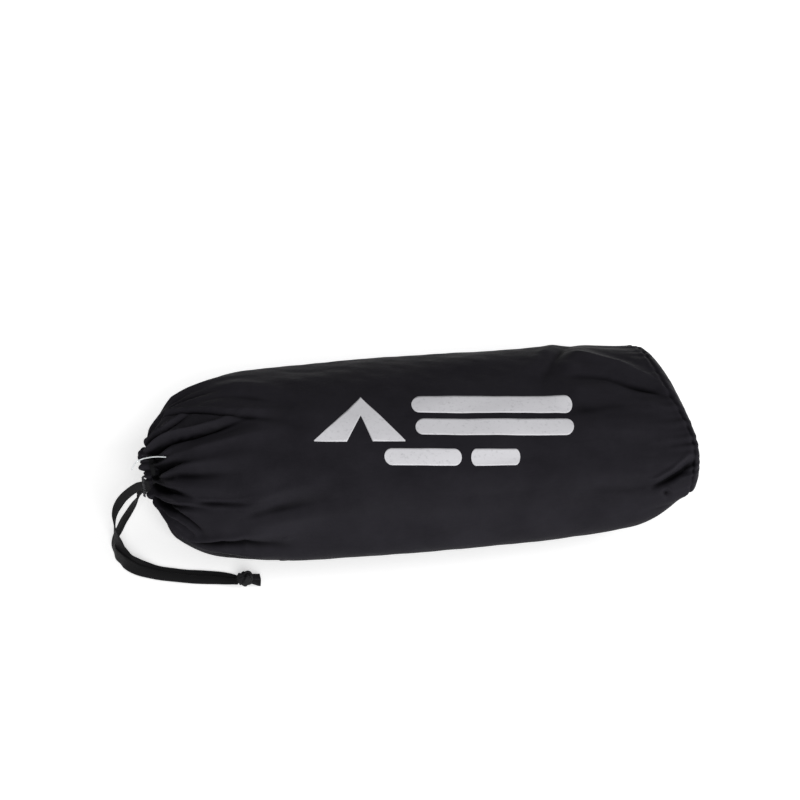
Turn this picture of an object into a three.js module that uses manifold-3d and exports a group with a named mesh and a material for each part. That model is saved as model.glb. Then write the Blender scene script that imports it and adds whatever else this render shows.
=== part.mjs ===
// A packed bivy sack: a drawcord stuff sack that lies on its side and holds the rolled bivy, its
// door zip and its folded hoop pole. Millimetres, +Z up. +X runs from the gathered mouth to the
// flat-sewn end, and the origin is under the middle of the sack, on the surface that it lies on.
import * as THREE from "three";
import { mergeVertices } from "three/addons/utils/BufferGeometryUtils.js";
import Module from "manifold-3d";

const wasm = await Module();
wasm.setup();

// ---- Driving dimensions -------------------------------------------------------------------------

const GAP = 0.3; // between pieces that touch

// Sack, from the lip of the gathered mouth to the crown of the end panel
const LIP_X = -167;
const GATHER_X = -163; // front of the gathered dome
const SHOULDER_X = -97; // where the gathers have run out
const PANEL_X = 152; // seam of the end panel
const PANEL_BULGE = 15;
const CLOTH = 1; // thickness that stands for the cloth and its folds
const HALF_WIDTH = { shoulder: 75, middle: 81.5, panel: 75.1 };
const TOP = { shoulder: 79.8, middle: 74.1, panel: 68.5 };
const WAIST = 0.427; // share of the height at which the section is widest
const FOOT_SINK = 2.5; // how far the round section is pressed flat where it rests
const AROUND = 32;

// Gathered neck
const NECK = { y: -2.6, z: 38.1, radius: 17.1 };
const CHANNEL = { back: -158.4, hole: 9.5, radius: 16.8, wall: 0.8, slit: 0.4 };
const LIP_BACK = 0.5; // the stitched buttonhole stands this far in front of the channel
const BUTTONHOLE = { y: -15.2, z: 38.3, width: 4, height: 11.2, thread: 0.7 };

// Drawcord: one flat woven tape, with both tails out of one buttonhole and knotted together
const TAPE = { width: 6.2, thickness: 1 };
const LOOP_RADIUS = 12.6;
const KNOT = { x: -112.6, y: -69.6, z: 4.6, radius: 4.4 };
// Its two cut ends: how far each lies across the knot, how far it turns and its height
const CUT_END = { length: 8, width: 5, thickness: 1.1, reach: 5 };
const CUT_ENDS = [
  { across: 1.4, turn: 0.25, z: 3.1 },
  { across: -1.9, turn: -0.2, z: 1.5 },
];

// Each tail's route: x, y, z of its middle, and how far the tape leans, in degrees from lying flat
const TAIL_A = [
  [-144, -16.4, 40, 90],
  [-155, -16.4, 40, 90],
  [-167.8, -16.4, 40, 90],
  [-171.6, -16.4, 38.9, 88],
  [-176, -16.3, 36, 86],
  [-180.2, -16.4, 31.9, 86],
  [-183.4, -17, 27.6, 88],
  [-185.4, -18.2, 23.3, 90],
  [-186.4, -20.2, 19.1, 90],
  [-186.6, -23, 15.1, 86],
  [-186, -27, 11.9, 74],
  [-184.9, -30.1, 8.8, 66],
  [-183.7, -32.8, 6, 62],
  [-181.9, -36, 4.4, 56],
  [-179.2, -39.5, 3.5, 62],
  [-175.4, -42.6, 2.8, 44],
  [-171, -45, 1.9, 26],
  [-166, -47.4, 1.2, 12],
  [-160, -49.8, 0.9, 5],
  [-153, -52.2, 0.8, 3],
  [-145.3, -54.4, 0.7, 2],
  [-136.6, -56.7, 0.7, 2],
  [-127.9, -58.9, 0.7, 2],
  [-121.6, -61.6, 0.9, 2],
  [-117.7, -64.8, 1.6, 4],
];
const TAIL_B = [
  [-144, -14.1, 36.2, 90],
  [-155, -14.1, 36.2, 90],
  [-167.6, -14.1, 36.2, 88],
  [-169.8, -14.4, 32.8, 50],
  [-171.9, -14.9, 29, 22],
  [-174.6, -15.7, 25, 4],
  [-177.6, -16.7, 21.2, 0],
  [-180.6, -17.9, 17.1, 0],
  [-183.3, -19.3, 12.9, 4],
  [-185.8, -21, 9.2, 20],
  [-187.8, -23.9, 5.3, 52],
  [-187.8, -28.6, 3.8, 84],
  [-186.8, -33.4, 3.4, 82],
  [-184.3, -37.8, 3.4, 76],
  [-181.6, -42.4, 3.3, 60],
  [-177.6, -46.6, 2.8, 42],
  [-172.4, -50.2, 2.3, 28],
  [-165.4, -53.6, 1.9, 18],
  [-157.8, -56.7, 1.7, 12],
  [-148.6, -59.7, 1.6, 10],
  [-139.6, -62.2, 1.6, 10],
  [-130.4, -64.4, 1.6, 10],
  [-122.8, -67.2, 2.2, 12],
  [-117.9, -70, 3.3, 14],
];

// Rolled bivy: floor and upper cloth wound together round the pole, pressed to an oval
const ROLL = {
  front: -110,
  back: 148,
  turns: 9.5,
  steps: 20,
  layer: 0.55,
  core: { y: -2.6, z: 36.2, halfWidth: 9.2, halfHeight: 9.2 },
  outside: { y: 0, z: 32, halfWidth: 71.4, halfHeight: 28.4 },
};
const ROLL_END_ANGLE = 90; // where the free end lies on the top of the roll

// Door of the bivy, on the top of the roll
const DOOR = { y: -46, thickness: 0.3, front: -100, back: 92 };
const ZIP = { y: 18, width: 24, tape: 0.5, coilWidth: 4.6, coilHeight: 1.4, front: -104, back: 132 };
const SLIDER = { x: -94, length: 9, width: 8.2, height: 2.9, wall: 0.7 };
const PULL = { length: 16, halfWidth: 2.2, endRadius: 3, eye: 1.5, thickness: 1 };

// Folded hoop pole: four tube sections in a two by two bundle
const POLE = { x: -110, length: 230, radius: 3.25, bore: 2.2, pitch: 6.8, y: -2.6, z: 37 };
const SPIGOT = { radius: 2, bore: 1.5, length: 44, exposed: 22 };
const TIP = { length: 11, plug: 9, plugRadius: 1.9, collar: 4, collarRadius: 3.1, radius: 2.1 };
const SHOCK_CORD_RADIUS = 1.1;

// Webbing stake loops, at the corners of the cloth where the roll leaves them
const LOOP = { length: 12, radius: 4, tape: 1, width: 7, waist: 0.45 };
const LOOP_HEAD = { y: 14, front: 50.4, back: 38.4 };
const LOOP_FOOT = { y: -26, z: 37 };

// ---- Colours ------------------------------------------------------------------------------------

const finish = (color, roughness, metalness = 0) =>
  new THREE.MeshStandardMaterial({ color, roughness, metalness });
const MATERIAL = {
  sackCloth: finish(0x242326, 0.72),
  tape: finish(0x121214, 0.8),
  thread: finish(0xb9bbc0, 0.7),
  filament: finish(0xe8eef2, 0.3),
  floorCloth: finish(0x3a3d42, 0.7),
  upperCloth: finish(0x6d7f5a, 0.75),
  mesh: finish(0x1c1c1e, 0.9),
  zip: finish(0x17181a, 0.6),
  slider: finish(0x6f7276, 0.35, 0.9),
  pole: finish(0xe2ded2, 0.5),
  aluminium: finish(0xa9adb2, 0.35, 0.9),
  elastic: finish(0xd8d8d4, 0.8),
};

// ---- Solids -------------------------------------------------------------------------------------

const group = new THREE.Group();

function add(name, geometry, material) {
  const mesh = new THREE.Mesh(geometry, material.clone());
  mesh.name = name;
  group.add(mesh);
  return mesh;
}

// A closed surface with its faces turned outwards, whichever way round it was drawn
function facingOut(geometry) {
  const bare = new THREE.BufferGeometry();
  bare.setAttribute("position", geometry.getAttribute("position"));
  if (geometry.index) bare.setIndex(geometry.index);
  const merged = mergeVertices(bare, 1e-3);
  const at = merged.getAttribute("position");
  const index = merged.index.array;
  const [a, b, c] = [0, 1, 2].map(() => new THREE.Vector3());
  let volume = 0;
  for (let i = 0; i < index.length; i += 3) {
    a.fromBufferAttribute(at, index[i]);
    b.fromBufferAttribute(at, index[i + 1]);
    c.fromBufferAttribute(at, index[i + 2]);
    volume += a.dot(b.cross(c));
  }
  if (volume < 0) {
    for (let i = 0; i < index.length; i += 3) {
      [index[i], index[i + 1]] = [index[i + 1], index[i]];
    }
  }
  return merged;
}

function toSolid(geometry) {
  const closed = facingOut(geometry);
  return new wasm.Manifold(
    new wasm.Mesh({
      numProp: 3,
      vertProperties: closed.getAttribute("position").array,
      triVerts: new Uint32Array(closed.index.array),
    }),
  );
}

function toGeometry(solid) {
  const { vertProperties, triVerts } = solid.getMesh();
  return new THREE.BufferGeometry()
    .setAttribute("position", new THREE.BufferAttribute(vertProperties, 3))
    .setIndex(new THREE.BufferAttribute(triVerts, 1));
}

// Skins a row of rings of equal count. A looped skin joins its last ring to its first, and any
// other skin closes both ends with a fan round the ring's middle.
function skin(rings, looped) {
  const count = rings[0].length;
  const points = rings.flat();
  const index = [];
  const last = looped ? rings.length : rings.length - 1;
  for (let r = 0; r < last; r++) {
    const here = r * count;
    const next = ((r + 1) % rings.length) * count;
    for (let i = 0; i < count; i++) {
      const j = (i + 1) % count;
      index.push(here + i, here + j, next + j, here + i, next + j, next + i);
    }
  }
  if (!looped) {
    for (const [ring, turn] of [[0, 1], [rings.length - 1, -1]]) {
      const middle = new THREE.Vector3();
      rings[ring].forEach((p) => middle.addScaledVector(p, 1 / count));
      points.push(middle);
      for (let i = 0; i < count; i++) {
        const pair = [ring * count + i, ring * count + ((i + 1) % count)];
        if (turn > 0) pair.reverse();
        index.push(...pair, points.length - 1);
      }
    }
  }
  const geometry = new THREE.BufferGeometry().setFromPoints(points).setIndex(index);
  return facingOut(geometry);
}

// A profile of [radius, distance along X] turned round an axis parallel to X
function turned(profile, sides, y, z) {
  const points = profile.map(([radius, x]) => new THREE.Vector2(radius, x));
  const geometry = new THREE.LatheGeometry(points, sides);
  geometry.rotateZ(-Math.PI / 2).translate(0, y, z);
  return facingOut(geometry);
}

// A flat outline drawn in Y and Z, extruded along X
function alongX(points, from, to) {
  const shape = new THREE.Shape(points.map(([y, z]) => new THREE.Vector2(y, z)));
  const geometry = new THREE.ExtrudeGeometry(shape, { depth: to - from, bevelEnabled: false });
  const axes = new THREE.Matrix4().makeBasis(
    new THREE.Vector3(0, 1, 0),
    new THREE.Vector3(0, 0, 1),
    new THREE.Vector3(1, 0, 0),
  );
  return facingOut(geometry.applyMatrix4(axes).translate(from, 0, 0));
}

// A path through listed points, one step to each, whose section keeps a chosen lean
class RoutePath extends THREE.Curve {
  constructor(points, leans) {
    super();
    this.points = points;
    this.leans = leans ?? points.map(() => 0);
  }
  getPoint(t, target = new THREE.Vector3()) {
    return target.copy(this.points[Math.round(t * (this.points.length - 1))]);
  }
  getPointAt(u, target) {
    return this.getPoint(u, target);
  }
  computeFrenetFrames() {
    const frames = { tangents: [], normals: [], binormals: [] };
    this.points.forEach((point, i) => {
      const before = this.points[Math.max(i - 1, 0)];
      const after = this.points[Math.min(i + 1, this.points.length - 1)];
      const tangent = after.clone().sub(before).normalize();
      const level = new THREE.Vector3(-tangent.y, tangent.x, 0).normalize();
      const lean = THREE.MathUtils.degToRad(this.leans[i]);
      const across = level.applyAxisAngle(tangent, lean);
      frames.tangents.push(tangent);
      frames.normals.push(across);
      frames.binormals.push(tangent.clone().cross(across));
    });
    return frames;
  }
}

// A tube of an oval section along a route
function tubeAlong(path, halfWidth, halfThickness, sides = 8) {
  // A flat tape's corners stand out so that its faces lie at its full width and thickness
  const reach = halfWidth > halfThickness ? 1 / Math.cos(Math.PI / sides) : 1;
  const outline = Array.from({ length: sides }, (_, i) => {
    const angle = ((i + 0.5) / sides) * 2 * Math.PI;
    return new THREE.Vector2(
      halfWidth * reach * Math.cos(angle),
      halfThickness * reach * Math.sin(angle),
    );
  });
  const options = { steps: path.points.length - 1, extrudePath: path, bevelEnabled: false };
  return facingOut(new THREE.ExtrudeGeometry(new THREE.Shape(outline), options));
}

const vectors = (rows) => rows.map(([x, y, z]) => new THREE.Vector3(x, y, z));

// ---- Sack cloth ---------------------------------------------------------------------------------

const power = (value, exponent) => Math.sign(value) * Math.abs(value) ** exponent;

// One station of the sack: where it is along X, its centre, and how far its cloth reaches
const station = (x, y, halfWidth, bottom, top) => ({ x, y, halfWidth, bottom, top });

function ring(s, inset = 0) {
  const waist = s.bottom + (s.top - s.bottom) * WAIST;
  const foot = s.bottom + inset;
  return Array.from({ length: AROUND }, (_, i) => {
    const angle = (i / AROUND) * 2 * Math.PI;
    const up = Math.sin(angle);
    const y = s.y + (s.halfWidth - inset) * power(Math.cos(angle), 0.9);
    const above = waist + (s.top - inset - waist) * power(up, 0.95);
    const below = waist + (waist - foot + FOOT_SINK) * power(up, 0.75);
    return new THREE.Vector3(s.x, y, up >= 0 ? above : Math.max(below, foot));
  });
}

// A quadratic through its values at the shoulder, the middle and the panel seam
function swell({ shoulder, middle, panel }, t) {
  return shoulder * (1 - t) * (1 - 2 * t) + 4 * middle * t * (1 - t) + panel * t * (2 * t - 1);
}

function tubeStation(x) {
  const t = (x - SHOULDER_X) / (PANEL_X - SHOULDER_X);
  return station(x, 0, swell(HALF_WIDTH, t), 0, swell(TOP, t));
}

// The gathered dome, from the neck (share 0) to the shoulder (share 1)
function domeStation(share) {
  const angle = (share * Math.PI) / 2;
  const open = Math.sin(angle);
  const x = GATHER_X + (SHOULDER_X - GAP - GATHER_X) * (1 - Math.cos(angle)) ** 0.84;
  const halfWidth = NECK.radius + (HALF_WIDTH.shoulder - NECK.radius) * open;
  const top = NECK.z + NECK.radius + (TOP.shoulder - NECK.z - NECK.radius) * open;
  return station(x, NECK.y * (1 - open), halfWidth, (NECK.z - NECK.radius) * (1 - open), top);
}

// The end panel, from its seam (share 0) towards its crown (share 1)
function panelStation(share, bulge) {
  const angle = (share * Math.PI) / 2;
  const fall = Math.cos(angle);
  const centre = TOP.panel * 0.45;
  const x = PANEL_X + GAP + bulge * Math.sin(angle);
  const top = centre + (TOP.panel - centre) * fall;
  return station(x, 0, HALF_WIDTH.panel * fall, centre * (1 - fall), top);
}

const moved = (s, dx) => ({ ...s, x: s.x + dx });

// Two skins, one inside the other, joined at both rims
const shell = (outside, inside) =>
  skin([...outside.map((s) => ring(s)), ...inside.reverse().map((s) => ring(s, CLOTH))], true);

function makeSackTube() {
  const xs = [SHOULDER_X, -70, -40, -5, 35, 75, 115, PANEL_X];
  const stations = xs.map(tubeStation);
  add("sack_tube", shell(stations, [...stations]), MATERIAL.sackCloth);
}

function makeMouthGather() {
  const collar = CHANNEL.back + 2 * GAP;
  const neckStation = (x, radius) =>
    station(x, NECK.y, radius, NECK.z - radius, NECK.z + radius);
  const dome = [0.12, 0.22, 0.36, 0.5, 0.66, 0.82, 1].map(domeStation);
  const outside = [neckStation(collar, NECK.radius + 1), ...dome];
  const inside = [
    neckStation(collar + CLOTH, NECK.radius + 1),
    ...dome.map((s, i) => moved(s, CLOTH * (1 - i / (dome.length - 1)))),
  ];
  add("mouth_gather", shell(outside, inside), MATERIAL.sackCloth);
}

function makeEndPanel() {
  const shares = [0, 0.25, 0.5, 0.75, 0.92];
  const outside = shares.map((share) => ring(panelStation(share, PANEL_BULGE - GAP)));
  const inside = shares.map((share) => ring(panelStation(share, PANEL_BULGE - GAP - CLOTH), CLOTH));
  add("sack_end_panel", skin([...outside.reverse(), ...inside], false), MATERIAL.sackCloth);
}

// ---- Drawcord and its channel -------------------------------------------------------------------

// The hem folded back over the cord: a ring with a C section, open along its stitch line
function makeChannel() {
  const { back, hole, radius, wall, slit } = CHANNEL;
  const front = LIP_X + LIP_BACK + GAP;
  const middle = (hole + radius) / 2;
  const profile = [
    [middle + slit / 2, back],
    [radius - 1, back],
    [radius, back - 1],
    [radius, front + 1.5],
    [radius - 1.5, front],
    [hole + 1.5, front],
    [hole, front + 1.5],
    [hole, back],
    [middle - slit / 2, back],
    [middle - slit / 2, back - wall],
    [hole + wall, back - wall],
    [hole + wall, front + 1.5 + wall / 2],
    [hole + 1.5 + wall / 2, front + wall],
    [radius - 1.5 - wall / 2, front + wall],
    [radius - wall, front + 1.5 + wall / 2],
    [radius - wall, back - wall],
    [middle + slit / 2, back - wall],
    [middle + slit / 2, back],
  ];
  const channel = toSolid(turned(profile, 24, NECK.y, NECK.z));
  const cut = new THREE.BoxGeometry(2 * (back - LIP_X), BUTTONHOLE.width, BUTTONHOLE.height);
  cut.translate((back + LIP_X) / 2, BUTTONHOLE.y, BUTTONHOLE.z);
  add("drawcord_channel", toGeometry(channel.subtract(toSolid(cut))), MATERIAL.sackCloth);
}

// The stretch of the cord that runs round inside the channel
function makeDrawcordLoop() {
  const halfGap = Math.asin((BUTTONHOLE.height / 2 + 1.2) / LOOP_RADIUS);
  const steps = 26;
  const arc = (radius) =>
    Array.from({ length: steps + 1 }, (_, i) => {
      const angle = Math.PI + halfGap + (i / steps) * 2 * (Math.PI - halfGap);
      return [NECK.y + radius * Math.cos(angle), NECK.z + radius * Math.sin(angle)];
    });
  const half = TAPE.thickness / 2;
  const outline = [...arc(LOOP_RADIUS + half), ...arc(LOOP_RADIUS - half).reverse()];
  const middle = (LIP_X + LIP_BACK + GAP + CHANNEL.back) / 2;
  const geometry = alongX(outline, middle - TAPE.width / 2 + 0.2, middle + TAPE.width / 2 - 0.2);
  add("drawcord_loop", geometry, MATERIAL.tape);
}

// The bar of thread round the buttonhole
function makeButtonholeStitching() {
  const { y, z, width, height, thread } = BUTTONHOLE;
  const frame = (grow) => {
    const [w, h] = [width / 2 + grow, height / 2 + grow];
    const cut = 1.2;
    return [
      [-w + cut, -h], [w - cut, -h], [w, -h + cut], [w, h - cut],
      [w - cut, h], [-w + cut, h], [-w, h - cut], [-w, -h + cut],
    ].map(([dy, dz]) => [y + dy, z + dz]);
  };
  const outer = toSolid(alongX(frame(thread), LIP_X, LIP_X + LIP_BACK));
  const inner = toSolid(alongX(frame(0), LIP_X - 1, LIP_X + LIP_BACK + 1));
  add("buttonhole_stitching", toGeometry(outer.subtract(inner)), MATERIAL.thread);
}

function makeTail(name, route) {
  const path = new RoutePath(vectors(route), route.map((row) => row[3]));
  add(name, tubeAlong(path, TAPE.width / 2, TAPE.thickness / 2), MATERIAL.tape);
}

// Both tails tied together in one overhand knot, with the two cut ends beyond it
function makeKnot() {
  const ball = new THREE.SphereGeometry(KNOT.radius, 12, 8);
  ball.scale(0.95, 1.05, 0.98).translate(KNOT.x, KNOT.y, KNOT.z);
  let knot = toSolid(ball);
  for (const { across, turn, z } of CUT_ENDS) {
    const end = new THREE.BoxGeometry(CUT_END.length, CUT_END.width, CUT_END.thickness);
    end.rotateZ(turn).translate(KNOT.x + CUT_END.reach, KNOT.y + across, z);
    knot = knot.add(toSolid(end));
  }
  add("drawcord_knot", toGeometry(knot), MATERIAL.tape);
}

// The stub of nylon filament that a shop tag hung from, pinned through the hem
function makeTagFilament() {
  const route = [
    [-153.6, -8.2, 67.6],
    [-156.6, -8.6, 65.4],
    [-159.4, -9, 62.6],
    [-161.8, -9.4, 59.6],
    [-163.6, -9.8, 57.2],
    [-165, -10.1, 55.4],
    [-166.6, -10.4, 53.6],
  ];
  add("tag_filament", tubeAlong(new RoutePath(vectors(route)), 0.4, 0.4, 6), MATERIAL.filament);
}

// ---- Rolled bivy --------------------------------------------------------------------------------

const mix = (a, b, t) => a + (b - a) * t;

// A point on the winding: turns counts whole turns from the core, lift is the layer's offset
function onRoll(turns, lift) {
  const t = turns / ROLL.turns;
  const { core, outside } = ROLL;
  const angle = THREE.MathUtils.degToRad(ROLL_END_ANGLE) + (turns - ROLL.turns) * 2 * Math.PI;
  const halfWidth = mix(core.halfWidth, outside.halfWidth, t) + lift;
  const halfHeight = mix(core.halfHeight, outside.halfHeight, t) + lift;
  return [
    mix(core.y, outside.y, t) + halfWidth * Math.cos(angle),
    mix(core.z, outside.z, t) + halfHeight * Math.sin(angle),
  ];
}

// One of the two cloths, wound for its whole length; phase sets it half a pitch from the other
function makeWinding(name, phase, material) {
  const count = ROLL.turns * ROLL.steps;
  const side = (lift) =>
    Array.from({ length: count + 1 }, (_, i) => onRoll(i / ROLL.steps, phase + lift));
  const outline = [...side(0), ...side(ROLL.layer).reverse()];
  add(name, alongX(outline, ROLL.front, ROLL.back), material);
}

// Height of the roll's outside at a distance y from its middle
function rollTop(y) {
  const { outside, layer } = ROLL;
  const halfWidth = outside.halfWidth + layer;
  const halfHeight = outside.halfHeight + 3 * layer;
  return outside.z + halfHeight * Math.sqrt(1 - ((y - outside.y) / halfWidth) ** 2);
}

// A strip of cloth laid on the roll from one y to another, lifted clear of what is under it
function strip(fromY, toY, lift, thickness, front, back) {
  const steps = 6;
  const side = (up) =>
    Array.from({ length: steps + 1 }, (_, i) => {
      const y = mix(fromY, toY, i / steps);
      return [y, rollTop(y) + up];
    });
  return alongX([...side(lift), ...side(lift + thickness).reverse()], front, back);
}

function makeDoor() {
  const { y, width, tape, coilWidth, coilHeight, front, back } = ZIP;
  const tapeLift = 2 * GAP + 0.3;
  const [tapeEdge, farEdge] = [y - width / 2, y + width / 2];
  const mesh = strip(DOOR.y, tapeEdge - GAP, GAP, DOOR.thickness, DOOR.front, DOOR.back);
  add("bug_mesh_door", mesh, MATERIAL.mesh);
  add("door_zipper_tape", strip(tapeEdge, farEdge, tapeLift, tape, front, back), MATERIAL.zip);
  const coilFoot = rollTop(y - coilWidth / 2) + tapeLift + tape + GAP;
  const [inner, outer] = [y - coilWidth / 2, y + coilWidth / 2];
  const coil = [
    [inner, coilFoot],
    [outer, coilFoot],
    [outer - 0.5, coilFoot + coilHeight],
    [inner + 0.5, coilFoot + coilHeight],
  ];
  add("zipper_coil", alongX(coil, front, back), MATERIAL.zip);

  const { x, length, width: wide, height, wall } = SLIDER;
  const foot = coilFoot + GAP;
  const roof = coilFoot + coilHeight + GAP;
  const slider = [
    [y - wide / 2, foot],
    [y - coilWidth / 2 - GAP, foot],
    [y - coilWidth / 2 - GAP, roof],
    [y + coilWidth / 2 + GAP, roof],
    [y + coilWidth / 2 + GAP, foot],
    [y + wide / 2, foot],
    [y + wide / 2, foot + height - wall],
    [y + wide / 2 - wall, foot + height],
    [y - wide / 2 + wall, foot + height],
    [y - wide / 2, foot + height - wall],
  ];
  add("zipper_slider", alongX(slider, x - length / 2, x + length / 2), MATERIAL.slider);

  const pull = new THREE.Shape();
  pull.absarc(0, 0, PULL.endRadius, -Math.PI / 2, Math.PI / 2);
  pull.lineTo(-PULL.length, PULL.halfWidth);
  pull.lineTo(-PULL.length, -PULL.halfWidth);
  pull.holes.push(new THREE.Path().absarc(0, 0, PULL.eye, 0, 2 * Math.PI));
  const options = { depth: PULL.thickness, bevelEnabled: false, curveSegments: 8 };
  const tab = new THREE.ExtrudeGeometry(pull, options);
  tab.rotateZ(Math.PI).translate(x, y, foot + height + GAP);
  add("zipper_pull", facingOut(tab), MATERIAL.slider);
}

// A loop of webbing sewn to the cloth: a flat ring with one round end
function makeStakeLoop(name, x, y, z, heading) {
  const { length, radius, tape, width, waist } = LOOP;
  const outline = (r) => {
    const path = new THREE.Shape();
    path.moveTo(0, -r * waist);
    path.absarc(length - radius, 0, r, -Math.PI / 2, Math.PI / 2);
    path.lineTo(0, r * waist);
    return path;
  };
  const shape = outline(radius);
  const hole = outline(radius - tape).getPoints(6);
  shape.holes.push(new THREE.Path(hole.map((p) => new THREE.Vector2(Math.max(p.x, tape), p.y))));
  const options = { depth: width, bevelEnabled: false, curveSegments: 6 };
  const geometry = new THREE.ExtrudeGeometry(shape, options).translate(0, 0, -width / 2);
  if (heading < 0) geometry.rotateZ(Math.PI);
  geometry.translate(x + heading * GAP, y, z);
  add(name, facingOut(geometry), MATERIAL.tape);
}

function makeLoops() {
  makeStakeLoop("stake_loop_head_left", ROLL.front, LOOP_HEAD.y, LOOP_HEAD.front, -1);
  makeStakeLoop("stake_loop_head_right", ROLL.back, LOOP_HEAD.y, LOOP_HEAD.back, 1);
  makeStakeLoop("stake_loop_foot_left", ROLL.front, LOOP_FOOT.y, LOOP_FOOT.z, -1);
  makeStakeLoop("stake_loop_foot_right", ROLL.back, LOOP_FOOT.y, LOOP_FOOT.z, 1);
}

// ---- Hoop pole ----------------------------------------------------------------------------------

// The four corners of the bundle, in the order that the shock cord runs through them
const CORNERS = [[1, 1], [1, -1], [-1, -1], [-1, 1]].map(([right, up]) => [
  POLE.y + (right * POLE.pitch) / 2,
  POLE.z + (up * POLE.pitch) / 2,
]);
const POLE_END = POLE.x + POLE.length;

function sleeve(from, to, outside, bore, sides, [y, z]) {
  const profile = [[bore, from], [outside, from], [outside, to], [bore, to], [bore, from]];
  return turned(profile, sides, y, z);
}

function makePole() {
  CORNERS.forEach((corner, i) => {
    const tube = sleeve(POLE.x, POLE_END, POLE.radius, POLE.bore, 14, corner);
    add("pole_section_" + (i + 1), tube, MATERIAL.pole);
  });
  // A spigot joins each section to the next: at the far end, the front end, then the far end
  [1, -1, 1].forEach((heading, i) => {
    const free = (heading > 0 ? POLE_END : POLE.x) + heading * SPIGOT.exposed;
    const held = free - heading * SPIGOT.length;
    const [from, to] = [Math.min(free, held), Math.max(free, held)];
    const spigot = sleeve(from, to, SPIGOT.radius - 0.1, SPIGOT.bore, 12, CORNERS[i]);
    add("pole_spigot_" + (i + 1), spigot, MATERIAL.aluminium);
  });
  // The two ends of the hoop have turned tips
  ["front", "rear"].forEach((label, i) => {
    const [y, z] = CORNERS[i * 3];
    const profile = [
      [0, POLE.x + TIP.plug],
      [TIP.plugRadius, POLE.x + TIP.plug],
      [TIP.plugRadius, POLE.x - GAP],
      [TIP.collarRadius, POLE.x - GAP],
      [TIP.collarRadius, POLE.x - TIP.collar],
      [TIP.radius, POLE.x - TIP.collar - 1],
      [TIP.radius, POLE.x - TIP.length + 1],
      [TIP.radius - 0.8, POLE.x - TIP.length],
      [0, POLE.x - TIP.length],
    ];
    add("pole_tip_" + label, turned(profile, 12, y, z), MATERIAL.aluminium);
  });
}

// One elastic cord through all four sections, with a U bend at each fold
function makeShockCord() {
  const bend = 6;
  const inset = TIP.plug + 2;
  const turnX = SPIGOT.exposed + 1;
  const rows = [[POLE.x + inset, ...CORNERS[0]]];
  [1, -1, 1].forEach((heading, i) => {
    const x = (heading > 0 ? POLE_END : POLE.x) + heading * turnX;
    const [from, to] = [CORNERS[i], CORNERS[i + 1]];
    for (let k = 0; k <= bend; k++) {
      const angle = (k / bend) * Math.PI;
      const along = (1 - Math.cos(angle)) / 2;
      rows.push([
        x + heading * (POLE.pitch / 2) * Math.sin(angle),
        mix(from[0], to[0], along),
        mix(from[1], to[1], along),
      ]);
    }
  });
  rows.push([POLE.x + inset, ...CORNERS[3]]);
  const cord = new TransportPath(vectors(rows));
  add("shock_cord", tubeAlong(cord, SHOCK_CORD_RADIUS, SHOCK_CORD_RADIUS), MATERIAL.elastic);
}

// A listed path whose section never twists, for bends that turn right back on themselves
class TransportPath extends RoutePath {
  computeFrenetFrames() {
    const frames = { tangents: [], normals: [], binormals: [] };
    let normal = new THREE.Vector3(0, 0.6, 0.8);
    this.points.forEach((point, i) => {
      const before = this.points[Math.max(i - 1, 0)];
      const after = this.points[Math.min(i + 1, this.points.length - 1)];
      const into = point.clone().sub(before).normalize();
      const out = after.clone().sub(point).normalize();
      const tangent = into.add(out).normalize();
      normal = normal.clone().addScaledVector(tangent, -normal.dot(tangent)).normalize();
      frames.tangents.push(tangent);
      frames.normals.push(normal);
      frames.binormals.push(tangent.clone().cross(normal));
    });
    return frames;
  }
}

makeSackTube();
makeMouthGather();
makeEndPanel();
makeChannel();
makeDrawcordLoop();
makeButtonholeStitching();
makeTagFilament();
makeTail("drawcord_tail_a", TAIL_A);
makeTail("drawcord_tail_b", TAIL_B);
makeKnot();
makeWinding("bivy_floor", 0, MATERIAL.floorCloth);
makeWinding("bivy_upper", ROLL.layer + GAP, MATERIAL.upperCloth);
makeDoor();
makeLoops();
makePole();
makeShockCord();

export default group;
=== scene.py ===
"""The looks of a packed bivy sack, built round its CAD frame.

A black nylon stuff sack lies on its side with its mouth drawn shut by a flat drawcord. Inside are
the rolled bivy, its door zip and its folded hoop pole. Shapes are worked out in millimetres and
turned to metres when a mesh is made. +X runs from the gathered mouth to the sewn end.
"""
import math

import bpy
import numpy as np
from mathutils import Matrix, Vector


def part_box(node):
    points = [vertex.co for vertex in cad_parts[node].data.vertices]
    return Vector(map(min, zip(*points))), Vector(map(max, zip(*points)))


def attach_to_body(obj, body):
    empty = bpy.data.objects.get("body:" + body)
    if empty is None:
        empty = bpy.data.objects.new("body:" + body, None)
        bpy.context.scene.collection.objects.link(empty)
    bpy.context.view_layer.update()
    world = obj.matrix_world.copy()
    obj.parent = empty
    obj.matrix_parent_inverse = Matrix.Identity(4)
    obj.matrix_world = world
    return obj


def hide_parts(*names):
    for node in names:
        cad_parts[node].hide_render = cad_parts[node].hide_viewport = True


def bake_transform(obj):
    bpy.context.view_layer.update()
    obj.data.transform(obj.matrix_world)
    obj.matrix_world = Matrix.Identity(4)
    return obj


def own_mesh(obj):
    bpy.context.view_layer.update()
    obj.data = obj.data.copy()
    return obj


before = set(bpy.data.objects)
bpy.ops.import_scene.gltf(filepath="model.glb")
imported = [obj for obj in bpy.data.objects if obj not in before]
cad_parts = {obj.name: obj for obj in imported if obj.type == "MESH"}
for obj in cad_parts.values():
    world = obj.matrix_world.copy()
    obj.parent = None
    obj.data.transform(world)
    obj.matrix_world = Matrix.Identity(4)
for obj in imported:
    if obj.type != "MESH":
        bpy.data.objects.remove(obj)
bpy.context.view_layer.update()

MM = 0.001


def box_mm(node):
    """A CAD node's lowest and highest corner, in millimetres."""
    low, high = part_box(node)
    return np.array(low) / MM, np.array(high) / MM


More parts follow.
